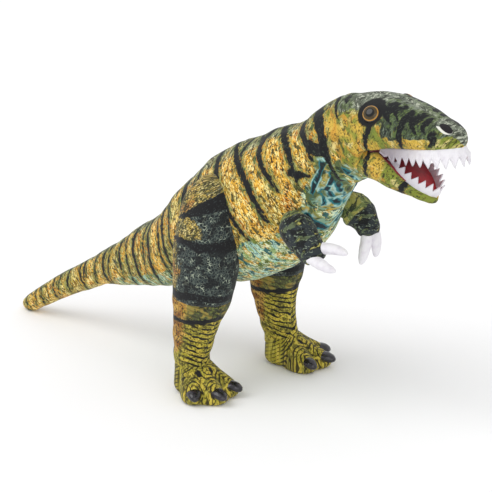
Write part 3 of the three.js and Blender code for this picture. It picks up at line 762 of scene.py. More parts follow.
# ---- marks printed on the cloth ----------------------------------------------------------------------
@dataclass(frozen=True)
class Stripe:
    """A dark stroke that starts near the back and runs round both flanks. x is where it starts on the
    spine, in pattern millimetres, the angles are from the top of the back, lean is how far it drifts
    towards the nose on its way, and bend is a bow in the middle."""
    x: float
    top: float
    end: float
    lean: float
    width: float
    bend: float = 0.0

    def distance(self, s: np.ndarray, angle: np.ndarray, girth: np.ndarray, start: float) -> np.ndarray:
        """Signed distance in millimetres to the stroke's edge, negative inside. Half the stroke's width at
        a share t of its length is (width / 2 + 0.5) * (0.4 + 0.6 * sin(pi * (0.25 + 0.75 * t))), so that it
        is widest at a third and narrows towards its end; past its ends the distance grows with the way
        round the body.

        Args:
            s: place along the spine.
            angle: degrees from the top, from 0 to 360, with the right flank first.
            girth: millimetres round the body for one degree.
            start: the place along the spine where the stroke starts.
        Returns:
            The distance for each point.
        """
        down = from_top(angle)
        share = (down - self.top) / (self.end - self.top)
        t = np.clip(share, 0.0, 1.0)
        middle = start + self.lean * t + self.bend * np.sin(np.pi * t) + 1.2 * np.sin(7.0 * t + self.x)
        half = (0.5 * self.width + 0.5) * (0.40 + 0.60 * np.sin(np.pi * np.clip(0.25 + 0.75 * t, 0, 1)))
        beyond = np.maximum(0.0, np.maximum(self.top - down, down - self.end)) * girth
        return np.hypot(s - middle, beyond) - half


FLANK_STRIPES = (
    Stripe(-34, 5, 96, -10, 7.5, -5), Stripe(-14, 12, 84, -8, 6, -3), Stripe(10, 2, 113, 14, 7.5, -3),
    Stripe(29, 0, 111, 20, 8, 10), Stripe(70, 0, 97, -8, 6.5, -4), Stripe(79, 5, 104, 5, 7, 6),
    Stripe(82, 92, 106, 12, 11, 0), Stripe(103, 12, 94, 0, 8, 2), Stripe(117, 6, 150, -14, 9, 10),
    Stripe(107, 76, 98, 10, 14, 0), Stripe(50, 2, 46, -6, 5, 0), Stripe(60, 3, 30, 3, 4, 0),
)
THROAT_VEINS = (                        # the throat's dark teal outlines
    Stripe(110, 108, 131, -39, 11, -3), Stripe(108, 129, 150, -38, 11, 2), Stripe(108, 126, 176, -26, 6, 4),
    Stripe(66, 140, 179, -16, 6, -2), Stripe(126, 128, 176, -14, 4, 4), Stripe(88, 138, 176, -8, 5, 3),
)
BELLY_LINE = (                          # where the belly panel is sewn: x on the spine, degrees from the top
    (-60, 116), (0, 112), (20, 112), (43, 126), (66, 130), (80, 117), (101, 108), (130, 122), (145, 145),
    (170, 178),
)


# ---- sub-assemblies ----------------------------------------------------------------------------------
@dataclass
class Body:
    """Tail, trunk, neck and head: one run of rings from the tail tip to the nose, cut into sewn lengths."""
    stations: tuple = (                 # x, z, half width, half height
        (-347, 7, 2, 2), (-344, 7, 5, 5.5), (-338, 8, 8, 8.5), (-320, 18.5, 11, 11), (-289, 38, 13, 13),
        (-249, 61, 15, 15.5), (-214, 80, 19, 19), (-174, 96, 26, 27), (-139, 113, 33, 35),
        (-100, 131, 43, 43), (-58, 158, 54, 57), (-12, 185, 61, 69), (34, 216, 60, 68),
        (67, 248, 50, 54), (96, 273, 41, 41), (118, 291.5, 40, 41.5), (140, 303, 39, 41.5),
        (162, 316, 38.5, 32.5), (184, 321, 36, 26),
        (205, 319.5, 33, 22), (226, 316.5, 27.5, 18), (242, 315.5, 21, 15.5), (251, 313.5, 14.5, 11.5),
        (256.5, 311.5, 6.5, 6), (258, 310.5, 2, 2),
    )
    around: int = 168
    fullness: float = 2.12              # of each ring: 2 is an ellipse
    step: float = 2.2
    tail_end_x: float = -205
    middle_x: float = 0
    neck_x: float = 119
    socket: float = 13.0
    back_seam: float = 0.9              # how deep the seam down the back is drawn in
    belly_seam: float = 1.6             # and the belly panel's
    lump: tuple = (1.5, 55)             # height and size of the stuffing's unevenness
    small_lump: tuple = (0.8, 24)
    pleat: tuple = (2.4, 14.0)          # height and spacing of the throat's folds
    tail_ring: tuple = (19, -330, 270)  # how many, where the first is, and how far ahead the last one is
    nostril: tuple = (243.5, 10.5, 328.5)
    nostril_size: tuple = (7.8, 4.6)    # half its length and half its width
    nostril_tilt: float = 25            # degrees
    palate: tuple = (168, 297)          # a point of the lip plane: x and z
    palate_rise: float = 0.1495         # its slope, tan(8.5 degrees)
    mouth_back: float = 160             # the lip plane drops away behind this x
    rows: dict = field(default_factory=dict)
    lip: np.ndarray = None

    def shape(self) -> Surface:
        """Works out the whole run: rings, folds, seams, lip plane and printed marks."""
        body, middles, wide, high = spine_tube(self.stations, self.step, self.around, self.fullness)
        x = np.broadcast_to(middles[:, :1], body.marks["angle"].shape)
        places = {"tail": self.tail_end_x, "middle": self.middle_x, "neck": self.neck_x}
        self.rows = {name: int(np.argmin(np.abs(middles[:, 0] - at))) for name, at in places.items()}
        self.fold(body, x)
        self.open_mouth(body)
        self.print_marks(body, x, middles, wide, high)
        return body

    def fold(self, body: Surface, x: np.ndarray) -> None:
        """Sinks the seams and raises the folds: down the middle of the back, along the belly panel, round
        the throat, with a soft unevenness of the stuffing all over."""
        angle = body.marks["angle"]
        down = from_top(angle)
        girth = body.cloth[:, 1:, 1].max(axis=1)[:, None] / 180
        thick = ease(-330, -200, x)
        sink = self.back_seam * np.exp(-(down * girth / 2.2)**2)
        belly_line = np.interp(x, *np.transpose(BELLY_LINE))
        trunk = ease(-60, -20, x) * (1 - ease(84, 110, x))
        sink += self.belly_seam * trunk * np.exp(-((down - belly_line) * girth / 2.6)**2)
        throat = ease(52, 84, x) * (1 - ease(128, 146, x)) * ease(62, 96, down)
        pleats = np.sin(np.pi * (x + 0.25 * (down - 90) + 4.0 * np.sin(down / 17)) / self.pleat[1])
        lumps = (self.lump[0] * ripple(body.points, self.lump[1])
                 + self.small_lump[0] * ripple(body.points, self.small_lump[1], 2.0))
        pleats = 1.0 - 2.0 * np.abs(pleats)**0.7 * (0.6 + 0.4 * ripple(body.points, 46, 4.0))
        calm = 1 - ease(140, 170, x) * 0.6
        body.push(lumps * thick * calm + throat * (self.pleat[0] * pleats - 0.4) - sink)

    def open_mouth(self, body: Surface) -> None:
        """Flattens what lies below the lip plane onto it, with a rounded lip, and lets it drop behind the
        mouth's corner: floor = z0 + rise * (x - x0) - 3 * distance behind the corner."""
        p = body.points
        floor = self.palate[1] + self.palate_rise * (p[..., 0] - self.palate[0])
        floor = floor - 3.0 * np.maximum(0.0, self.mouth_back - p[..., 0])
        depth = floor - p[..., 2]
        p[..., 2] += rounded(depth, 1.6)
        self.lip = lip_outline(p, floor, self.mouth_back)

    def print_marks(self, body: Surface, x: np.ndarray, middles: np.ndarray, wide: np.ndarray,
                    high: np.ndarray) -> None:
        """Works out where each colour of the print lies."""
        angle, along = body.marks["angle"], body.marks["along"]
        down = from_top(angle)
        girth = (np.pi * (wide + high) / 2 / 180)[:, None]
        stripe = np.full(angle.shape, 40.0)
        vein = stripe.copy()
        strokes = FLANK_STRIPES + self.tail_rings() + self.head_stripes()
        for marks, nearest in ((strokes, stripe), (THROAT_VEINS, vein)):
            for mark in marks:
                start = float(np.interp(mark.x, middles[:, 0], along[:, 0]))
                np.minimum(nearest, mark.distance(along, angle, girth, start), out=nearest)
        body.marks["stripe"], body.marks["vein"] = stripe, vein
        body.marks["back"] = (1 - ease(14, 46, down)) * 0.95 + 0.35 * (1 - ease(30, 70, down))
        body.marks["crown"] = ease(122, 150, x) * (1 - ease(36, 66, down))
        belly_line = np.interp(x, *np.transpose(BELLY_LINE))
        body.marks["belly"] = ease(-9, 9, down - belly_line) * ease(-215, -170, x) * (1 - ease(140, 160, x))
        body.marks["throat"] = (1 - ease(4.0, 13.0, vein)) * ease(48, 60, x) * (1 - ease(140, 150, x))
        body.marks["cheek"] = ease(118, 136, x)
        ahead = body.points[..., 0] - self.palate[0]
        lift = body.points[..., 2] - (self.palate[1] + self.palate_rise * ahead)
        body.marks["snout"] = ease(176, 188, x) * ease(14, 34, down) * ease(9, 17, lift)
        self.print_face(body)

    def print_face(self, body: Surface) -> None:
        """Marks of the dark socket round each eye, and of the nostrils with their pale lower rims. Each is
        a distance in millimetres to its edge, negative inside."""
        y = np.abs(body.points[..., 1])
        eye = np.array(EYE_MIDDLE)
        body.marks["socket"] = np.sqrt((body.points[..., 0] - eye[0] + 1.5)**2 * 0.8 + (y - eye[1])**2 * 0.4
                                       + ((body.points[..., 2] - eye[2] - 3.5) * 0.82)**2) - self.socket
        ahead = body.points[..., 0] - self.nostril[0]
        lift = body.points[..., 2] - self.nostril[2]
        across = y - self.nostril[1]
        tilt = np.radians(self.nostril_tilt)
        long = (ahead * np.cos(tilt) - lift * np.sin(tilt)) / self.nostril_size[0]
        short = np.hypot(ahead * np.sin(tilt) + lift * np.cos(tilt), across) / self.nostril_size[1]
        body.marks["nostril"] = (np.hypot(long, short) - 1) * self.nostril_size[1]
        below = (self.nostril[2] - 1.8 - body.points[..., 2]) + 0.6 * (across - 1.0)
        rim = np.where(below > -2.0, body.marks["nostril"] - 1.2, 9.0)
        body.marks["nostril_rim"] = rim + 0.4 * np.maximum(0.0, ahead - 1.0)

    def tail_rings(self) -> tuple[Stripe, ...]:
        """The tail's rings: unevenly spaced, wider towards the hips, and leaning back on their way down."""
        count, first, run = self.tail_ring
        i, t = np.arange(count), np.linspace(0, 1, count)
        x = first + run * t + 4.0 * np.sin(2.4 * i)
        end = 150 - 30 * np.sin(1.9 * i)
        width = 2.0 + 2.0 * t + 1.4 * np.sin(3.1 * i)
        return tuple(Stripe(float(x[n]), 4, float(end[n]), -10 - 8 * float(t[n]), float(width[n]), 3.0)
                     for n in range(count))

    def head_stripes(self) -> tuple[Stripe, ...]:
        """Short bands on the cheek and the snout."""
        return (Stripe(176, 70, 132, -20, 6, 0), Stripe(203, 24, 146, 0, 6, 2), Stripe(188, 22, 70, 4, 8, -4),
                Stripe(214, 18, 74, 4, 8, -4), Stripe(225, 16, 66, 3, 6, -4), Stripe(236, 62, 104, 0, 7, 0),
                Stripe(195, 20, 58, 3, 5, -4), Stripe(132, 8, 60, 12, 6, 2), Stripe(145, 4, 40, 8, 4, 2))

    def build(self, print_: bpy.types.Material) -> None:
        """Cuts the run into its lengths and makes them; the head is joined to its body, and the tail,
        hindquarters and chest stay fixed in place.
        """
        surface = self.shape()
        last = len(surface.points) - 1
        cuts = self.rows
        tail = surface.part(0, cuts["tail"]).build("tail_plush", print_)
        rear = surface.part(cuts["tail"], cuts["middle"]).build("hindquarters_plush", print_)
        front = surface.part(cuts["middle"], cuts["neck"]).build("chest_and_neck_plush", print_)
        head = surface.part(cuts["neck"], last).build("head_plush", print_)
        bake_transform(tail)
        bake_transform(rear)
        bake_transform(front)
        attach(head, "head")
        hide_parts("tail_tip_skin", "tail_tip_stuffing", "tail_skin_right", "tail_skin_left",
                    "tail_stuffing")
        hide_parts("flank_skin_right", "flank_skin_left", "trunk_stuffing")
        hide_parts("belly_panel")
        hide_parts("head_skin_right", "head_skin_left", "head_stuffing")
        for piece, fill in ((tail, 0.9), (rear, 0.85), (front, 0.8), (head, 0.9)):
            log.info("sewed %s", piece.name)


@dataclass
class Jaw:
    """The lower jaw: a stuffed tube with a flat top, whose rear is tucked into the cheeks."""
    stations: tuple = (                 # x, z, half width, half height
        (136, 285, 26, 18), (158, 283, 31.5, 21.5), (178, 275.5, 30, 18.5), (200, 265.5, 25.5, 13),
        (213, 258.5, 19, 8.5), (221, 253.5, 12, 6), (226, 250.5, 6, 4), (228, 249.5, 2, 2),
    )
    around: int = 120
    fullness: float = 2.2
    step: float = 2.0
    floor: tuple = (170, 296)
    slope: float = -0.740               # tan(-36.5 degrees)
    lip: np.ndarray = None

    def build(self, print_: bpy.types.Material) -> None:
        """Makes the jaw and lays its top flat: ceiling = z0 + slope * (x - x0)."""
        jaw, *_ = spine_tube(self.stations, self.step, self.around, self.fullness)
        jaw.push(0.8 * ripple(jaw.points, 30))
        p = jaw.points
        over = p[..., 2] - (self.floor[1] + self.slope * (p[..., 0] - self.floor[0]))
        p[..., 2] -= rounded(over, 1.4)
        self.lip = lip_outline(p, self.floor[1] + self.slope * (p[..., 0] - self.floor[0]), self.floor[0])
        angle, x = jaw.marks["angle"], p[..., 0]
        down = from_top(angle)
        bands = np.minimum(np.abs(x - 164 + 0.06 * (down - 90)) - 2.2,
                           np.abs(x - 203 + 0.1 * (down - 90)) - 3.0)
        jaw.marks["stripe"] = np.where(down < 145, bands, 20.0) + 3 * ease(120, 145, down)
        jaw.marks["back"] = np.zeros(x.shape)
        jaw.marks["belly"] = 0.7 * ease(120, 160, down)
        jaw.marks["cheek"], jaw.marks["crown"] = np.ones(x.shape), np.zeros(x.shape)
        for name in ("socket", "nostril", "nostril_rim", "vein"):
            jaw.marks[name] = np.full(x.shape, 50.0)
        jaw.marks["throat"], jaw.marks["snout"] = np.zeros(x.shape), np.zeros(x.shape)
        piece = jaw.build("jaw_plush", print_)
        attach(piece, "jaw")
        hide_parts("jaw_skin", "jaw_stuffing")
        log.info("sewed %s", piece.name)


@dataclass
class Mouth:
    """The crimson lining, folded at the back of the mouth, and the two rows of felt teeth."""
    upper_lip: np.ndarray                    # x and half width of each lip's edge
    lower_lip: np.ndarray
    palate: tuple = (168, 297, 0.14835)      # x, z and angle in radians of the upper lip plane
    floor: tuple = (170, 296, -0.63705)      # and of the lower one
    fold: tuple = (165.0, 31.0, 295.5)       # x, half width and height of the fold between them
    pitch: float = 8.2                       # from one tooth to the next
    tip: float = 14.5
    valley: float = 6.2
    felt: float = 1.6                        # thickness of the teeth
    satin: float = 1.0                       # and of the lining

    def outline(self, lip: np.ndarray, plane: tuple, start: float, inset: float) -> np.ndarray:
        """A lip's edge in its own plane, closed at the front: (x - x0) / cos(angle) ahead, and half width
        less an inset. It starts that many millimetres ahead of the plane's own point."""
        ahead = (lip[:, 0] - plane[0]) / np.cos(plane[2])
        table = np.stack([ahead, lip[:, 1]], -1)
        table = np.concatenate([table[(ahead > start) & (table[:, 1] > 3.0)], [[ahead.max(), 0.0]]])
        run = np.concatenate([[0.0], np.cumsum(np.linalg.norm(np.diff(table, axis=0), axis=1))])
        at = np.linspace(0, run[-1], 90)
        even = np.stack([np.interp(at, run, table[:, k]) for k in (0, 1)], -1)
        soft = np.pad(even, ((4, 4), (0, 0)), mode="edge")
        even[1:-1] = np.stack([np.convolve(soft[:, k], np.full(9, 1 / 9), "valid") for k in (0, 1)], -1)[1:-1]
        way = np.gradient(even, axis=0)
        way /= np.linalg.norm(way, axis=1, keepdims=True) + 1e-9
        even = even + np.stack([way[:, 1], -way[:, 0]], -1) * inset
        even[:, 1] = np.maximum(even[:, 1], 0.0)
        return even

    def lining(self, satin: bpy.types.Material) -> bpy.types.Object:
        """Two flat leaves that meet in a fold: each is (distance ahead, half width) laid on its lip plane,
        lifted a little off the plush, and the row between them is the fold."""
        across = np.linspace(-1, 1, 25)
        rows = []
        for plane, lip, way in ((self.palate, self.upper_lip, -1), (self.floor, self.lower_lip, 1)):
            x, z, angle = plane
            table = self.outline(lip, plane, 2.0, 2.0)
            ahead, half = table[:, 0], np.maximum(table[:, 1], 0.2)
            lift = way * (0.6 + 1.2 * (1 - across**2))
            p = np.stack(np.broadcast_arrays(
                x + ahead[:, None] * np.cos(angle) - lift * np.sin(angle), half[:, None] * across,
                z + ahead[:, None] * np.sin(angle) + lift * np.cos(angle)), -1)
            rows.append(p[::-1] if way < 0 else p)
        x, half, z = self.fold
        fold = np.stack([x + 3 * across**2, half * across, np.full(across.shape, z)], -1)[None]
        grid = np.concatenate([rows[0], fold, rows[1]])
        # the lining is painted darker behind x 172 as shade at the back of the mouth, full colour again by x
        # 232
        return thin_piece("mouth_lining", grid, (172, 232), satin, self.satin)

    def teeth(self, name: str, row: np.ndarray, plane: tuple, way: int, stretch: float, lean: float,
              felt: bpy.types.Material) -> bpy.types.Object:
        """A felt strip that follows its lip. A point is lip + way * t * reach, where reach swings between
        valley and tip as a triangle wave of the tooth pitch with blunted points, and the free edge leans
        outwards by the square of t.

        Args:
            name: the piece's name.
            row: the lip's edge in its own plane.
            plane: x, z and angle of that plane.
            way: -1 where the teeth hang and 1 where they stand.
            stretch: length of the teeth as a share of valley and tip.
            lean: how far the points lean outwards, in millimetres.
            felt: the finish.
        Returns:
            The object.
        """
        half = np.concatenate([row * [1, -1], row[::-1][1:]])
        run = np.concatenate([[0.0], np.cumsum(np.linalg.norm(np.diff(half, axis=0), axis=1))])
        teeth = int(round(run[-1] / self.pitch))
        at = np.linspace(0, run[-1], 8 * teeth + 1)
        path = np.stack([np.interp(at, run, half[:, 0]), np.interp(at, run, half[:, 1])], -1)
        phase = (at / run[-1] * teeth) % 1.0
        saw = np.abs(2 * phase - 1)
        reach = self.tip + (self.valley - self.tip) * np.clip(saw * 1.06 - 0.02, 0, 1)
        front = ease(0.15, 0.4, at / run[-1]) * (1 - ease(0.6, 0.85, at / run[-1]))
        ends = ease(0.0, 0.07, at / run[-1]) * (1 - ease(0.93, 1.0, at / run[-1]))
        reach = reach * (0.84 + 0.22 * front) * (0.25 + 0.75 * ends) * stretch
        normal = np.stack([np.gradient(path[:, 1]), -np.gradient(path[:, 0])], -1)
        normal /= np.linalg.norm(normal, axis=1, keepdims=True) + 1e-9
        t = np.linspace(0, 1, 8)
        down = way * (-1.0 + (reach[:, None] + 1.0) * t)
        out = lean * t**2 - 0.3 + 0.35 * np.sin(at * 0.9)[:, None] * t
        flat = path[:, None] + normal[:, None] * out[..., None]
        x, z, angle = plane
        grid = np.stack([x + flat[..., 0] * np.cos(angle) - down * np.sin(angle), flat[..., 1],
                         z + flat[..., 0] * np.sin(angle) + down * np.cos(angle)], -1)
        log.info("cut %s: %.0f mm long, %d teeth", name, run[-1], teeth)
        # the teeth are painted darker behind x 176 as shade inside the mouth, full colour again by x 236
        return thin_piece(name, grid, (176, 236), felt, self.felt)

    def build(self, satin: bpy.types.Material, felt: bpy.types.Material) -> None:
        """Makes the lining and the teeth, and joins the teeth to the head and the jaw; the lining stays fixed
        in place.
        """
        lining = self.lining(satin)
        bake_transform(lining)
        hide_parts("palate_lining", "mouth_floor_lining")
        upper_row = self.outline(self.upper_lip, self.palate, 10.0, 0.4)
        lower_row = self.outline(self.lower_lip, self.floor, 12.0, 2.0)
        lower_row[:, 1] = np.maximum(0.0, lower_row[:, 1] - 3.6 * (1 - ease(12, 54, lower_row[:, 0])))
        upper = self.teeth("upper_felt_teeth", upper_row, self.palate, -1, 1.20, 3.2, felt)
        lower = self.teeth("lower_felt_teeth", lower_row, self.floor, 1, 0.95, 0.4, felt)
        for piece, body, node in ((upper, "head", "upper_teeth"), (lower, "jaw", "lower_teeth")):
            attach(piece, body)
            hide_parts(node)


@dataclass
class Eye:
    """A domed safety eye with a flat rim, on one side of the head."""
    side: int
    outward: tuple = (0.2, 0.78, 0.58)
    radius: float = 9.0
    dome: float = 5.5

    def build(self, acrylic: bpy.types.Material) -> None:
        """Turns the dome's profile about its axis: height = dome * cos(a), reach = radius * sin(a), then a
        short skirt behind the rim."""
        word = "left" if self.side > 0 else "right"
        turn = np.radians(np.linspace(1, 90, 24))
        reach = np.concatenate([self.radius * np.sin(turn), [self.radius, self.radius * 0.6]])
        height = np.concatenate([self.dome * np.cos(turn), [-1.2, -2.0]])
        axis = np.array(self.outward) * [1, self.side, 1]
        axis = axis / np.linalg.norm(axis)
        side = np.cross(axis, [0, 0, 1.0])
        side /= np.linalg.norm(side)
        middle = np.array(EYE_MIDDLE) * [1, self.side, 1]
        count = len(reach)
        eye = rings(middle + axis * height[:, None], np.broadcast_to(side, (count, 3)),
                    np.broadcast_to(np.cross(side, axis), (count, 3)), reach, reach, 48)
        eye.marks["far"] = np.broadcast_to(reach[:, None], eye.marks["angle"].shape).copy()
        piece = eye.build(f"safety_eye_{word}", acrylic)
        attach(piece, "head")
        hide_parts(f"eye_{word}", f"eye_washer_{word}")
        log.info("fixed %s", piece.name)


@dataclass
class Leg:
    """A leg: padded thigh panel, shin, foot with three toes, flat sole and three glossy claws."""
    side: int
    rows: tuple = (                     # x, |y|, z, half width, half depth, share of the stride
        (-16, 45, 240, 3, 4, 0), (-16, 46, 238, 9, 11, 0), (-16, 48, 233, 15, 18, 0),
        (-16, 50, 224, 20, 26, 0), (-16, 53, 205, 25, 33, 0), (-17, 56, 180, 28, 37, 0),
        (-18, 58, 150, 29, 38, 0), (-19, 60, 126, 28.5, 36, 0), (-21.5, 61, 103, 26, 31.5, 0.12),
        (-25.5, 62, 79, 23, 25.5, 0.28), (-26.5, 62, 54, 20, 21, 0.6), (-24, 62, 31, 19, 19.5, 0.96),
        (-22.5, 62, 20, 19, 19.5, 1),
    )
    stride: float = 12
    ankle: tuple = (-22.5, 62)
    splay: float = 17
    inner: float = 31
    shin_top: float = 108
    shin_end: float = 24
    toes: tuple = ((-31, 46), (0, 50), (31, 42))      # degrees from the foot's direction, reach of its claw
    claw: tuple = (12.0, 8.4, 6.2)
    claw_height: float = 11.5
    crease: tuple = (1.6, 6.5)          # depth of the ankle's creases, and their spacing over pi
    shin_scute: float = 5.8             # height of a printed plate on the shin
    foot_scute: float = 4.4             # and its length on the foot
    toe_pad: float = 8.0                # plush ahead of the claw's middle
    toe_spread: float = 28.5            # degrees over which a toe's lobe falls away
    between_toes: tuple = (-15.0, 16.5)
    instep: tuple = (17.5, 33.0)        # radius and height where the foot meets the shin
    sole_inset: float = 7.5             # how far the sole's edge lies inside the outline
    toe_thickness: float = 9.0          # height of the outline's widest line above the floor

    @property
    def word(self) -> str:
        """Which leg it is."""
        return "left" if self.side > 0 else "right"

    def place(self, flat: np.ndarray) -> np.ndarray:
        """Turns foot coordinates (ahead, outwards, up) by the splay and moves them to the ankle."""
        yaw = np.radians(self.splay)
        ahead = flat[..., 0] * np.cos(yaw) - flat[..., 1] * np.sin(yaw)
        out = flat[..., 0] * np.sin(yaw) + flat[..., 1] * np.cos(yaw)
        return np.stack([self.ankle[0] + self.side * self.stride + ahead, self.side * (self.ankle[1] + out),
                         flat[..., 2]], -1)

    def column(self) -> Surface:
        """The thigh and shin: level rings, with the inner face flattened against the trunk."""
        table = smooth_rows(np.asarray(self.rows, float), 2.0)
        middles = table[:, :3] * [1, self.side, 1]
        middles[:, 0] += self.side * self.stride * table[:, 5]
        front = np.broadcast_to([1.0, 0.0, 0.0], middles.shape)
        out = np.broadcast_to([0.0, self.side, 0.0], middles.shape)
        leg = rings(middles, out, front, table[:, 3], table[:, 4], 96, 2.1)
        z = leg.points[..., 2]
        low = 1 - ease(20, 100, z)
        turn = np.where(leg.marks["angle"] <= 180, leg.marks["angle"], leg.marks["angle"] - 360)
        creases = np.abs(np.sin(z / self.crease[1] + 1.5 * ripple(leg.points, 60) + 0.008 * turn))**0.6
        seam = 0.9 * (1 - ease(96, 108, z)) * np.exp(-(turn / 5.0)**2)
        lumps = 1.1 * ripple(leg.points, 40, 1.0) + 0.6 * ripple(leg.points, 17, 3.0)
        leg.push(lumps - self.crease[0] * low * (1 - creases) - seam)
        y = leg.points[..., 1] * self.side
        leg.points[..., 1] = self.side * (self.inner + np.logaddexp(0, (y - self.inner) / 1.5) * 1.5)
        return leg

    def print_column(self, leg: Surface) -> None:
        """Marks of the thigh and shin: bands, the warm rear edge and the scutes that meet in the middle of
        the shin.
        A scute's number is (height - 0.12 * degrees from the front + unevenness) / shin_scute."""
        angle, z = leg.marks["angle"], leg.points[..., 2]
        turn = np.where(angle <= 180, angle, angle - 360)
        rear = ease(70, 150, np.abs(turn))
        ahead = leg.points[..., 0] - leg.points[..., 0].mean(axis=1, keepdims=True)
        wedge = np.abs(z - 208 - 0.50 * ahead) - (5.5 + 0.16 * ahead)
        band_a = np.abs(z - 173 + 1.5 * np.sin(ahead / 8)) - (4.2 + 0.05 * ahead)
        band_b = np.abs(z - 116 - 1.5 * np.sin(ahead / 9)) - (4.6 - 0.03 * ahead)
        band_c = np.abs(z - 87 - 0.08 * ahead) - 2.6
        blot = np.hypot(z - 48, np.abs(np.abs(turn) - 150) * 0.35) - 7
        leg.marks["stripe"] = np.minimum.reduce([wedge, band_a, band_b, band_c, blot])
        patch = ease(174, 182, z) * (1 - ease(192, 204, z))
        lean = leg.points[..., 2] - 208 - 0.50 * ahead
        hip = 0.72 * ease(2, 8, lean)
        leg.marks["warm"] = np.clip(rear * 0.85 + 0.95 * patch * ease(45, 100, np.abs(turn)) + hip, 0, 1)
        leg.marks["scute"] = (z - 0.12 * np.abs(turn) + 1.2 * ripple(leg.points, 26, 5.0)) / self.shin_scute
        leg.marks["lined"] = (1 - ease(55, 120, np.abs(turn))) * 0.95 * (1 - 0.6 * ease(90, 96, z)) + 0.05
        leg.marks["shin_warm"] = ease(50, 120, np.abs(turn)) * ease(34, 60, z)
        leg.marks["knee"] = ease(86, 90, z) * (1 - ease(60, 110, np.abs(turn)))

    def foot(self) -> Surface:
        """The foot: rays from the ankle. Its outline is a heel circle with a lobe for each toe. A ray runs
        out over the instep, reach = top + (outline - top) * t^0.9 and height = thick + (top - thick) *
        (1 - t^2.1), with a valley between the toes, and then turns in under the sole on a quarter round."""
        around = 144
        theta = np.linspace(0, 2 * np.pi, around + 1)
        bearing = (np.degrees(theta) + 180) % 360 - 180
        outline = 19.5 + 3.5 * np.cos(np.radians(bearing * 0.5))**2
        valley = np.zeros(around + 1)
        for aim, reach in self.toes:
            lobe = np.exp(-((bearing - aim) / self.toe_spread)**2)**0.5
            outline = np.maximum(outline, (reach + self.toe_pad) * lobe)
        for aim in self.between_toes:
            valley += np.exp(-((bearing - aim) / 6.0)**2)
        kernel = np.exp(-np.linspace(-2, 2, 9)**2)
        wrap = np.concatenate([outline[-5:-1], outline, outline[1:5]])
        outline = np.convolve(wrap, kernel / kernel.sum(), "valid")[:around + 1]
        t_top = np.linspace(0, 1, 26)
        top_r, top_z = self.instep
        thick = self.toe_thickness
        reach = top_r + (outline[None] - top_r) * t_top[:, None]**0.9
        fall = (1 - t_top**2.1)[:, None]
        long = np.clip((outline - 26) / 22, 0, 1)[None]
        rise = thick + (top_z - thick) * fall * (1 - 0.32 * long * np.sin(np.pi * t_top[:, None]))
        rise = rise - 5.0 * valley[None] * ease(0.25, 0.8, t_top)[:, None]
        under = np.linspace(0, 1, 9)[1:]
        tuck = np.sqrt(np.clip(1 - (1 - under)**2, 0, 1))
        low_r = outline[None] - self.sole_inset * (1 - np.sqrt(1 - under**2))[:, None]
        low_z = rise[-1][None] * (1 - under)[:, None]
        reach = np.concatenate([reach, low_r, low_r[-1:] * 0.9])
        rise = np.concatenate([rise, np.maximum(low_z, 0.0), np.zeros((1, around + 1))])
        flat = np.stack([reach * np.cos(theta), reach * np.sin(theta), rise], -1)
        points = self.place(flat)
        cloth = np.stack([reach * np.cos(theta), reach * np.sin(theta)], -1)
        foot = Surface(points[:, :-1], cloth, {})
        flat = flat[:, :-1]
        far = np.full(flat.shape[:2], 99.0)
        for aim, out in self.toes:
            way = np.radians(aim)
            claw = flat[..., :2] - out * np.array([np.cos(way), np.sin(way)])
            far = np.minimum(far, np.hypot(claw[..., 0], claw[..., 1]))
        ahead = ease(6, 26, flat[..., 0])
        heel = 30 - flat[..., 2] + 0.5 * flat[..., 0]
        foot.marks["scute"] = (far * ahead + heel * (1 - ahead)) / self.foot_scute
        foot.marks["lined"] = 0.55 + 0.35 * ease(-12, 6, flat[..., 0])
        foot.marks["knee"] = np.zeros(far.shape)
        foot.marks["warm"] = 0.5 * (1 - ease(-20, 10, flat[..., 0]))
        # near-black blots in the two hollows between the toes: painted shade, carried by the stripe mark
        middle = np.minimum(np.hypot(flat[..., 0] - 24, (flat[..., 1] + 7) * 1.3),
                            np.hypot(flat[..., 0] - 24, (flat[..., 1] - 8) * 1.3))
        foot.marks["stripe"] = middle - 3.5
        return foot

    def claws(self, vinyl: bpy.types.Material) -> None:
        """Three padded claws. Along its axis s from -1 to 1 a claw's girth is (1 - s^2)^0.5 with a narrower
        point, and it droops by the square of the distance ahead."""
        for name, (aim, reach) in zip(("inner", "middle", "outer"), self.toes):
            s = -np.cos(np.linspace(0.12, np.pi - 0.12, 40))
            girth = np.sqrt(1 - s**2) * (1 - 0.16 * s)
            way = np.radians(aim)
            ahead = reach + self.claw[0] * s
            height = self.claw_height - 2.6 * np.clip(s, 0, 1)**2
            flat = np.stack([ahead * np.cos(way), ahead * np.sin(way), height], -1)
            path = self.place(flat)
            tall = np.minimum(self.claw[2] * girth, height - 0.2)
            claw = limb(path, self.claw[1] * girth, tall, 40)
            claw.push(0.25 * ripple(claw.points, 9, 2.0))
            down = (claw.points[..., 2] - path[:, None, 2]) / (self.claw[2] + 1e-6)
            claw.marks["under"] = ease(0.25, 0.75, -down)
            piece = claw.build(f"toe_claw_{name}_{self.word}", vinyl)
            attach(piece, f"leg_{self.word}")
            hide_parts(f"claw_{name}_{self.word}")

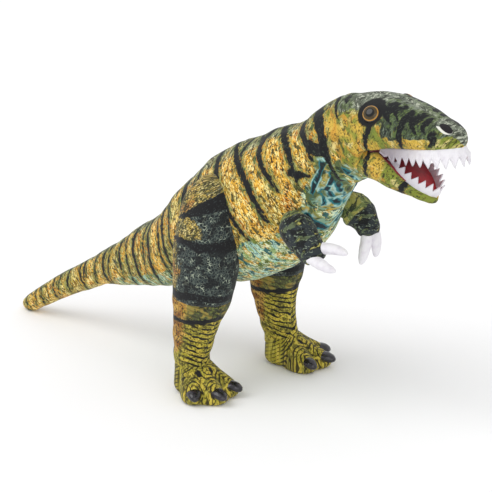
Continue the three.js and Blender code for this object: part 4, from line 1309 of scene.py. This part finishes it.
    def build(self, thigh_print: bpy.types.Material, foot_print: bpy.types.Material,
              vinyl: bpy.types.Material, canvas: bpy.types.Material) -> None:
        """Makes the leg's pieces and joins them to its body."""
        leg = self.column()
        self.print_column(leg)
        heights = leg.points[..., 2].mean(axis=1)
        seam, end = (int(np.argmin(np.abs(heights - at))) for at in (self.shin_top, self.shin_end))
        thigh = leg.part(0, seam).build(f"thigh_plush_{self.word}", thigh_print, (0.0, 2.0))
        lower = leg.part(seam, end)
        lower.marks["warm"] = lower.marks["shin_warm"]
        shin = lower.build(f"shin_plush_{self.word}", foot_print, (2.0, 0.0))
        foot = self.foot().build(f"foot_plush_{self.word}", foot_print)
        sole = self.sole(canvas)
        self.claws(vinyl)
        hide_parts(f"thigh_skin_{self.word}", f"leg_stuffing_{self.word}")
        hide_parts(f"shin_skin_{self.word}")
        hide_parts(f"foot_skin_{self.word}", f"foot_beans_{self.word}")
        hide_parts(f"sole_{self.word}")
        slots = ((thigh, "thigh_plush"), (shin, "scale_plush"), (foot, "scale_plush"), (sole, "sole_cloth"))
        for piece, slot in slots:
            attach(piece, f"leg_{self.word}")
            log.info("sewed %s", piece.name)

    def sole(self, canvas: bpy.types.Material) -> bpy.types.Object:
        """A flat sewn sole that covers the foot's lowest ring, 1.5 mm thick and standing on the floor."""
        edge = self.foot().points[-1]
        middle = edge.mean(axis=0)
        shares = np.array([0.99, 1.0, 1.0, 0.99])
        heights = np.array([1.5, 1.1, 0.4, 0.0])
        points = middle + (edge[None] - middle) * shares[:, None, None]
        points[..., 2] = heights[:, None]
        wide = np.concatenate([points, points[:, :1]], axis=1)[..., :2]
        return Surface(points, wide, {}).build(f"sole_cloth_{self.word}", canvas)


RIGHT_ARM = (
    ((80, 41, 214, 6), (84, 44, 212, 12), (89, 47, 208, 16.5), (98, 50, 201, 18), (109, 51, 191, 15.5),
     (117, 51, 184, 14), (122, 51, 180, 11), (124, 51, 178, 7)),
    ((((113, 49, 188), (128, 47, 191), (143, 46, 192), (156, 47, 191)), 7.2),
     (((110, 56, 184), (124, 58, 180), (138, 60, 177), (151, 60, 175)), 7.2)),
)
LEFT_ARM = (
    ((76, 41, 203, 6), (80, 44, 203, 12), (86, 47, 203, 16), (97, 50, 198, 18), (107, 51, 188, 14),
     (112, 51, 180, 11.5), (114, 51, 176, 8)),
    ((((112, 47, 178), (110, 47, 165), (108, 46, 154), (106, 45, 143)), 7.2),
     (((114, 56, 181), (116, 57, 170), (116, 58, 159), (115, 58, 150)), 6.6)),
)


@dataclass
class Arm:
    """A short arm: a stuffed sleeve that ends in two soft felt fingers."""
    side: int
    sleeve: tuple                       # x, |y|, z, radius
    fingers: tuple                      # for each: points x, |y|, z, and its half width

    @property
    def word(self) -> str:
        """Which arm it is."""
        return "left" if self.side > 0 else "right"

    def build(self, print_: bpy.types.Material, felt: bpy.types.Material) -> None:
        """Makes the sleeve and fingers and joins them to the arm's body."""
        table = smooth_rows(np.asarray(self.sleeve, float), 1.2)
        sleeve = limb(table[:, :3] * [1, self.side, 1], table[:, 3], table[:, 3], 72)
        sleeve.push(0.7 * ripple(sleeve.points, 16, 1.5))
        along, angle = sleeve.marks["along"], np.radians(sleeve.marks["angle"])
        slant = 9 * np.abs(np.sin(angle / 2))
        sleeve.marks["scute"] = (along + slant + 2.5 * ripple(sleeve.points, 20)) / 13.0
        sleeve.marks["warm"] = 0.9 * (1 - ease(6, 16, along)) if self.side < 0 else 1 - ease(22, 34, along)
        piece = sleeve.build(f"arm_plush_{self.word}", print_, (1.0, 1.5))
        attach(piece, f"arm_{self.word}")
        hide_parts(f"arm_skin_{self.word}", f"arm_stuffing_{self.word}")
        for name, (points, width) in zip(("inner", "outer"), self.fingers):
            path = smooth_rows(np.asarray(points, float) * [1, self.side, 1], 1.0)
            s = np.linspace(-0.45, 1, len(path))
            girth = width * np.sqrt(np.clip(1 - np.abs(s)**3.2, 0.004, 1)) * (1 - 0.18 * np.clip(s, 0, 1))
            finger = limb(path, girth, girth * 0.82, 40)
            finger.push(0.3 * ripple(finger.points, 10, 2.5))
            piece = finger.build(f"felt_finger_{name}_{self.word}", felt)
            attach(piece, f"arm_{self.word}")
            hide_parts(f"arm_claw_{name}_{self.word}")
        log.info("sewed the %s arm", self.word)


@dataclass
class Studio:
    """A pale floor, soft light and the camera."""
    target: tuple = (32.1, 0.0, 150.0)      # millimetres in the frame
    azimuth: float = 39.0                   # degrees round from straight on to the toy's right flank
    elevation: float = 19.3
    distance: float = 2300.0
    lens: float = 158.8
    sensor: float = 36.0
    dome: float = 0.79                      # strength of the white light from all round
    suns: tuple = (                         # name, place in metres, spread in degrees, strength
        ("key", (-0.7, -1.2, 2.0), 45.0, 1.0), ("front", (1.8, -0.9, 1.0), 50.0, 0.45),
    )
    lit: tuple = (0.0, 0.0, 0.12)           # where the suns point, in metres
    floor: float = 12.0                     # half its side, in metres

    def aim(self, thing: bpy.types.Object, place: np.ndarray, at: np.ndarray) -> None:
        """Puts a camera or light at a place, in metres, looking at another."""
        way = at - place
        way = way / np.linalg.norm(way)
        right = np.cross(way, [0, 0, 1.0])
        right /= np.linalg.norm(right)
        up = np.cross(right, way)
        matrix = np.eye(4)
        matrix[:3, :3] = np.stack([right, up, -way], axis=1)
        matrix[:3, 3] = place
        thing.matrix_world = matrix.T.tolist()
        bpy.context.scene.collection.objects.link(thing)

    def build(self) -> None:
        """Sets up the floor, the light and the camera."""
        target = np.array(self.target) * MM
        az, el = np.radians(self.azimuth), np.radians(self.elevation)
        back = np.array([np.cos(el) * np.sin(az), -np.cos(el) * np.cos(az), np.sin(el)])
        camera = bpy.data.objects.new("camera", bpy.data.cameras.new("camera"))
        camera.data.lens, camera.data.sensor_width = self.lens, self.sensor
        camera.data.clip_end = 50.0
        self.aim(camera, target + back * self.distance * MM, target)
        scene = bpy.context.scene
        scene.camera = camera
        scene.view_settings.view_transform = "Standard"
        for name, place, spread, power in self.suns:
            light = bpy.data.objects.new(name, bpy.data.lights.new(name, "SUN"))
            light.data.angle, light.data.energy = float(np.radians(spread)), power
            self.aim(light, np.array(place), np.array(self.lit))
        world = bpy.data.worlds.new("studio")
        world.use_nodes = True
        world.node_tree.nodes["Background"].inputs[0].default_value = linear("ffffff")
        world.node_tree.nodes["Background"].inputs[1].default_value = self.dome
        scene.world = world
        f = Finish("white_paper_sweep")
        haze = f.noise(f.solid(400.0), 1.0)
        paper = f.finish(f.lay(linear("fafafb"), Layer("fdfdfe", haze)), None, 0.0, 0.9)
        mesh = bpy.data.meshes.new("floor")
        corners = [(x * self.floor, y * self.floor, 0) for x, y in ((-1, -1), (1, -1), (1, 1), (-1, 1))]
        mesh.from_pydata(corners, [], [(0, 1, 2, 3)])
        dress("floor", mesh, paper)


def main() -> None:
    """Builds the studio, the finishes and the toy, in that order."""
    logging.basicConfig(level=logging.INFO, format="%(name)s: %(message)s")
    Studio().build()
    flank, thigh, foot, arm = FlankPrint().make(), ThighPrint().make(), FootPrint().make(), ArmPrint().make()
    # a29aa4 and 560a14 are the painted shade of the felt teeth and of the lining at the back of the mouth
    felt = PlainCloth("wool_felt", "e9e7eb", "dedae1", Cloth.FELT, "a29aa4").make()
    satin = PlainCloth("crimson_satin_lining", "c4182a", "9c1020", Cloth.SATIN, "560a14").make()
    canvas = PlainCloth("olive_sole_cloth", "6f6a30", "55521f", Cloth.FELT).make()
    vinyl, acrylic = ClawVinyl().make(), EyeAcrylic().make()
    body, jaw = Body(), Jaw()
    body.build(flank)
    jaw.build(flank)
    Mouth(body.lip, jaw.lip).build(satin, felt)
    for side in (-1, 1):
        Eye(side).build(acrylic)
        Leg(side).build(thigh, foot, vinyl, canvas)
    for side, shape in ((-1, RIGHT_ARM), (1, LEFT_ARM)):
        Arm(side, *shape).build(arm, felt)


if __name__ == "__main__":
    main()
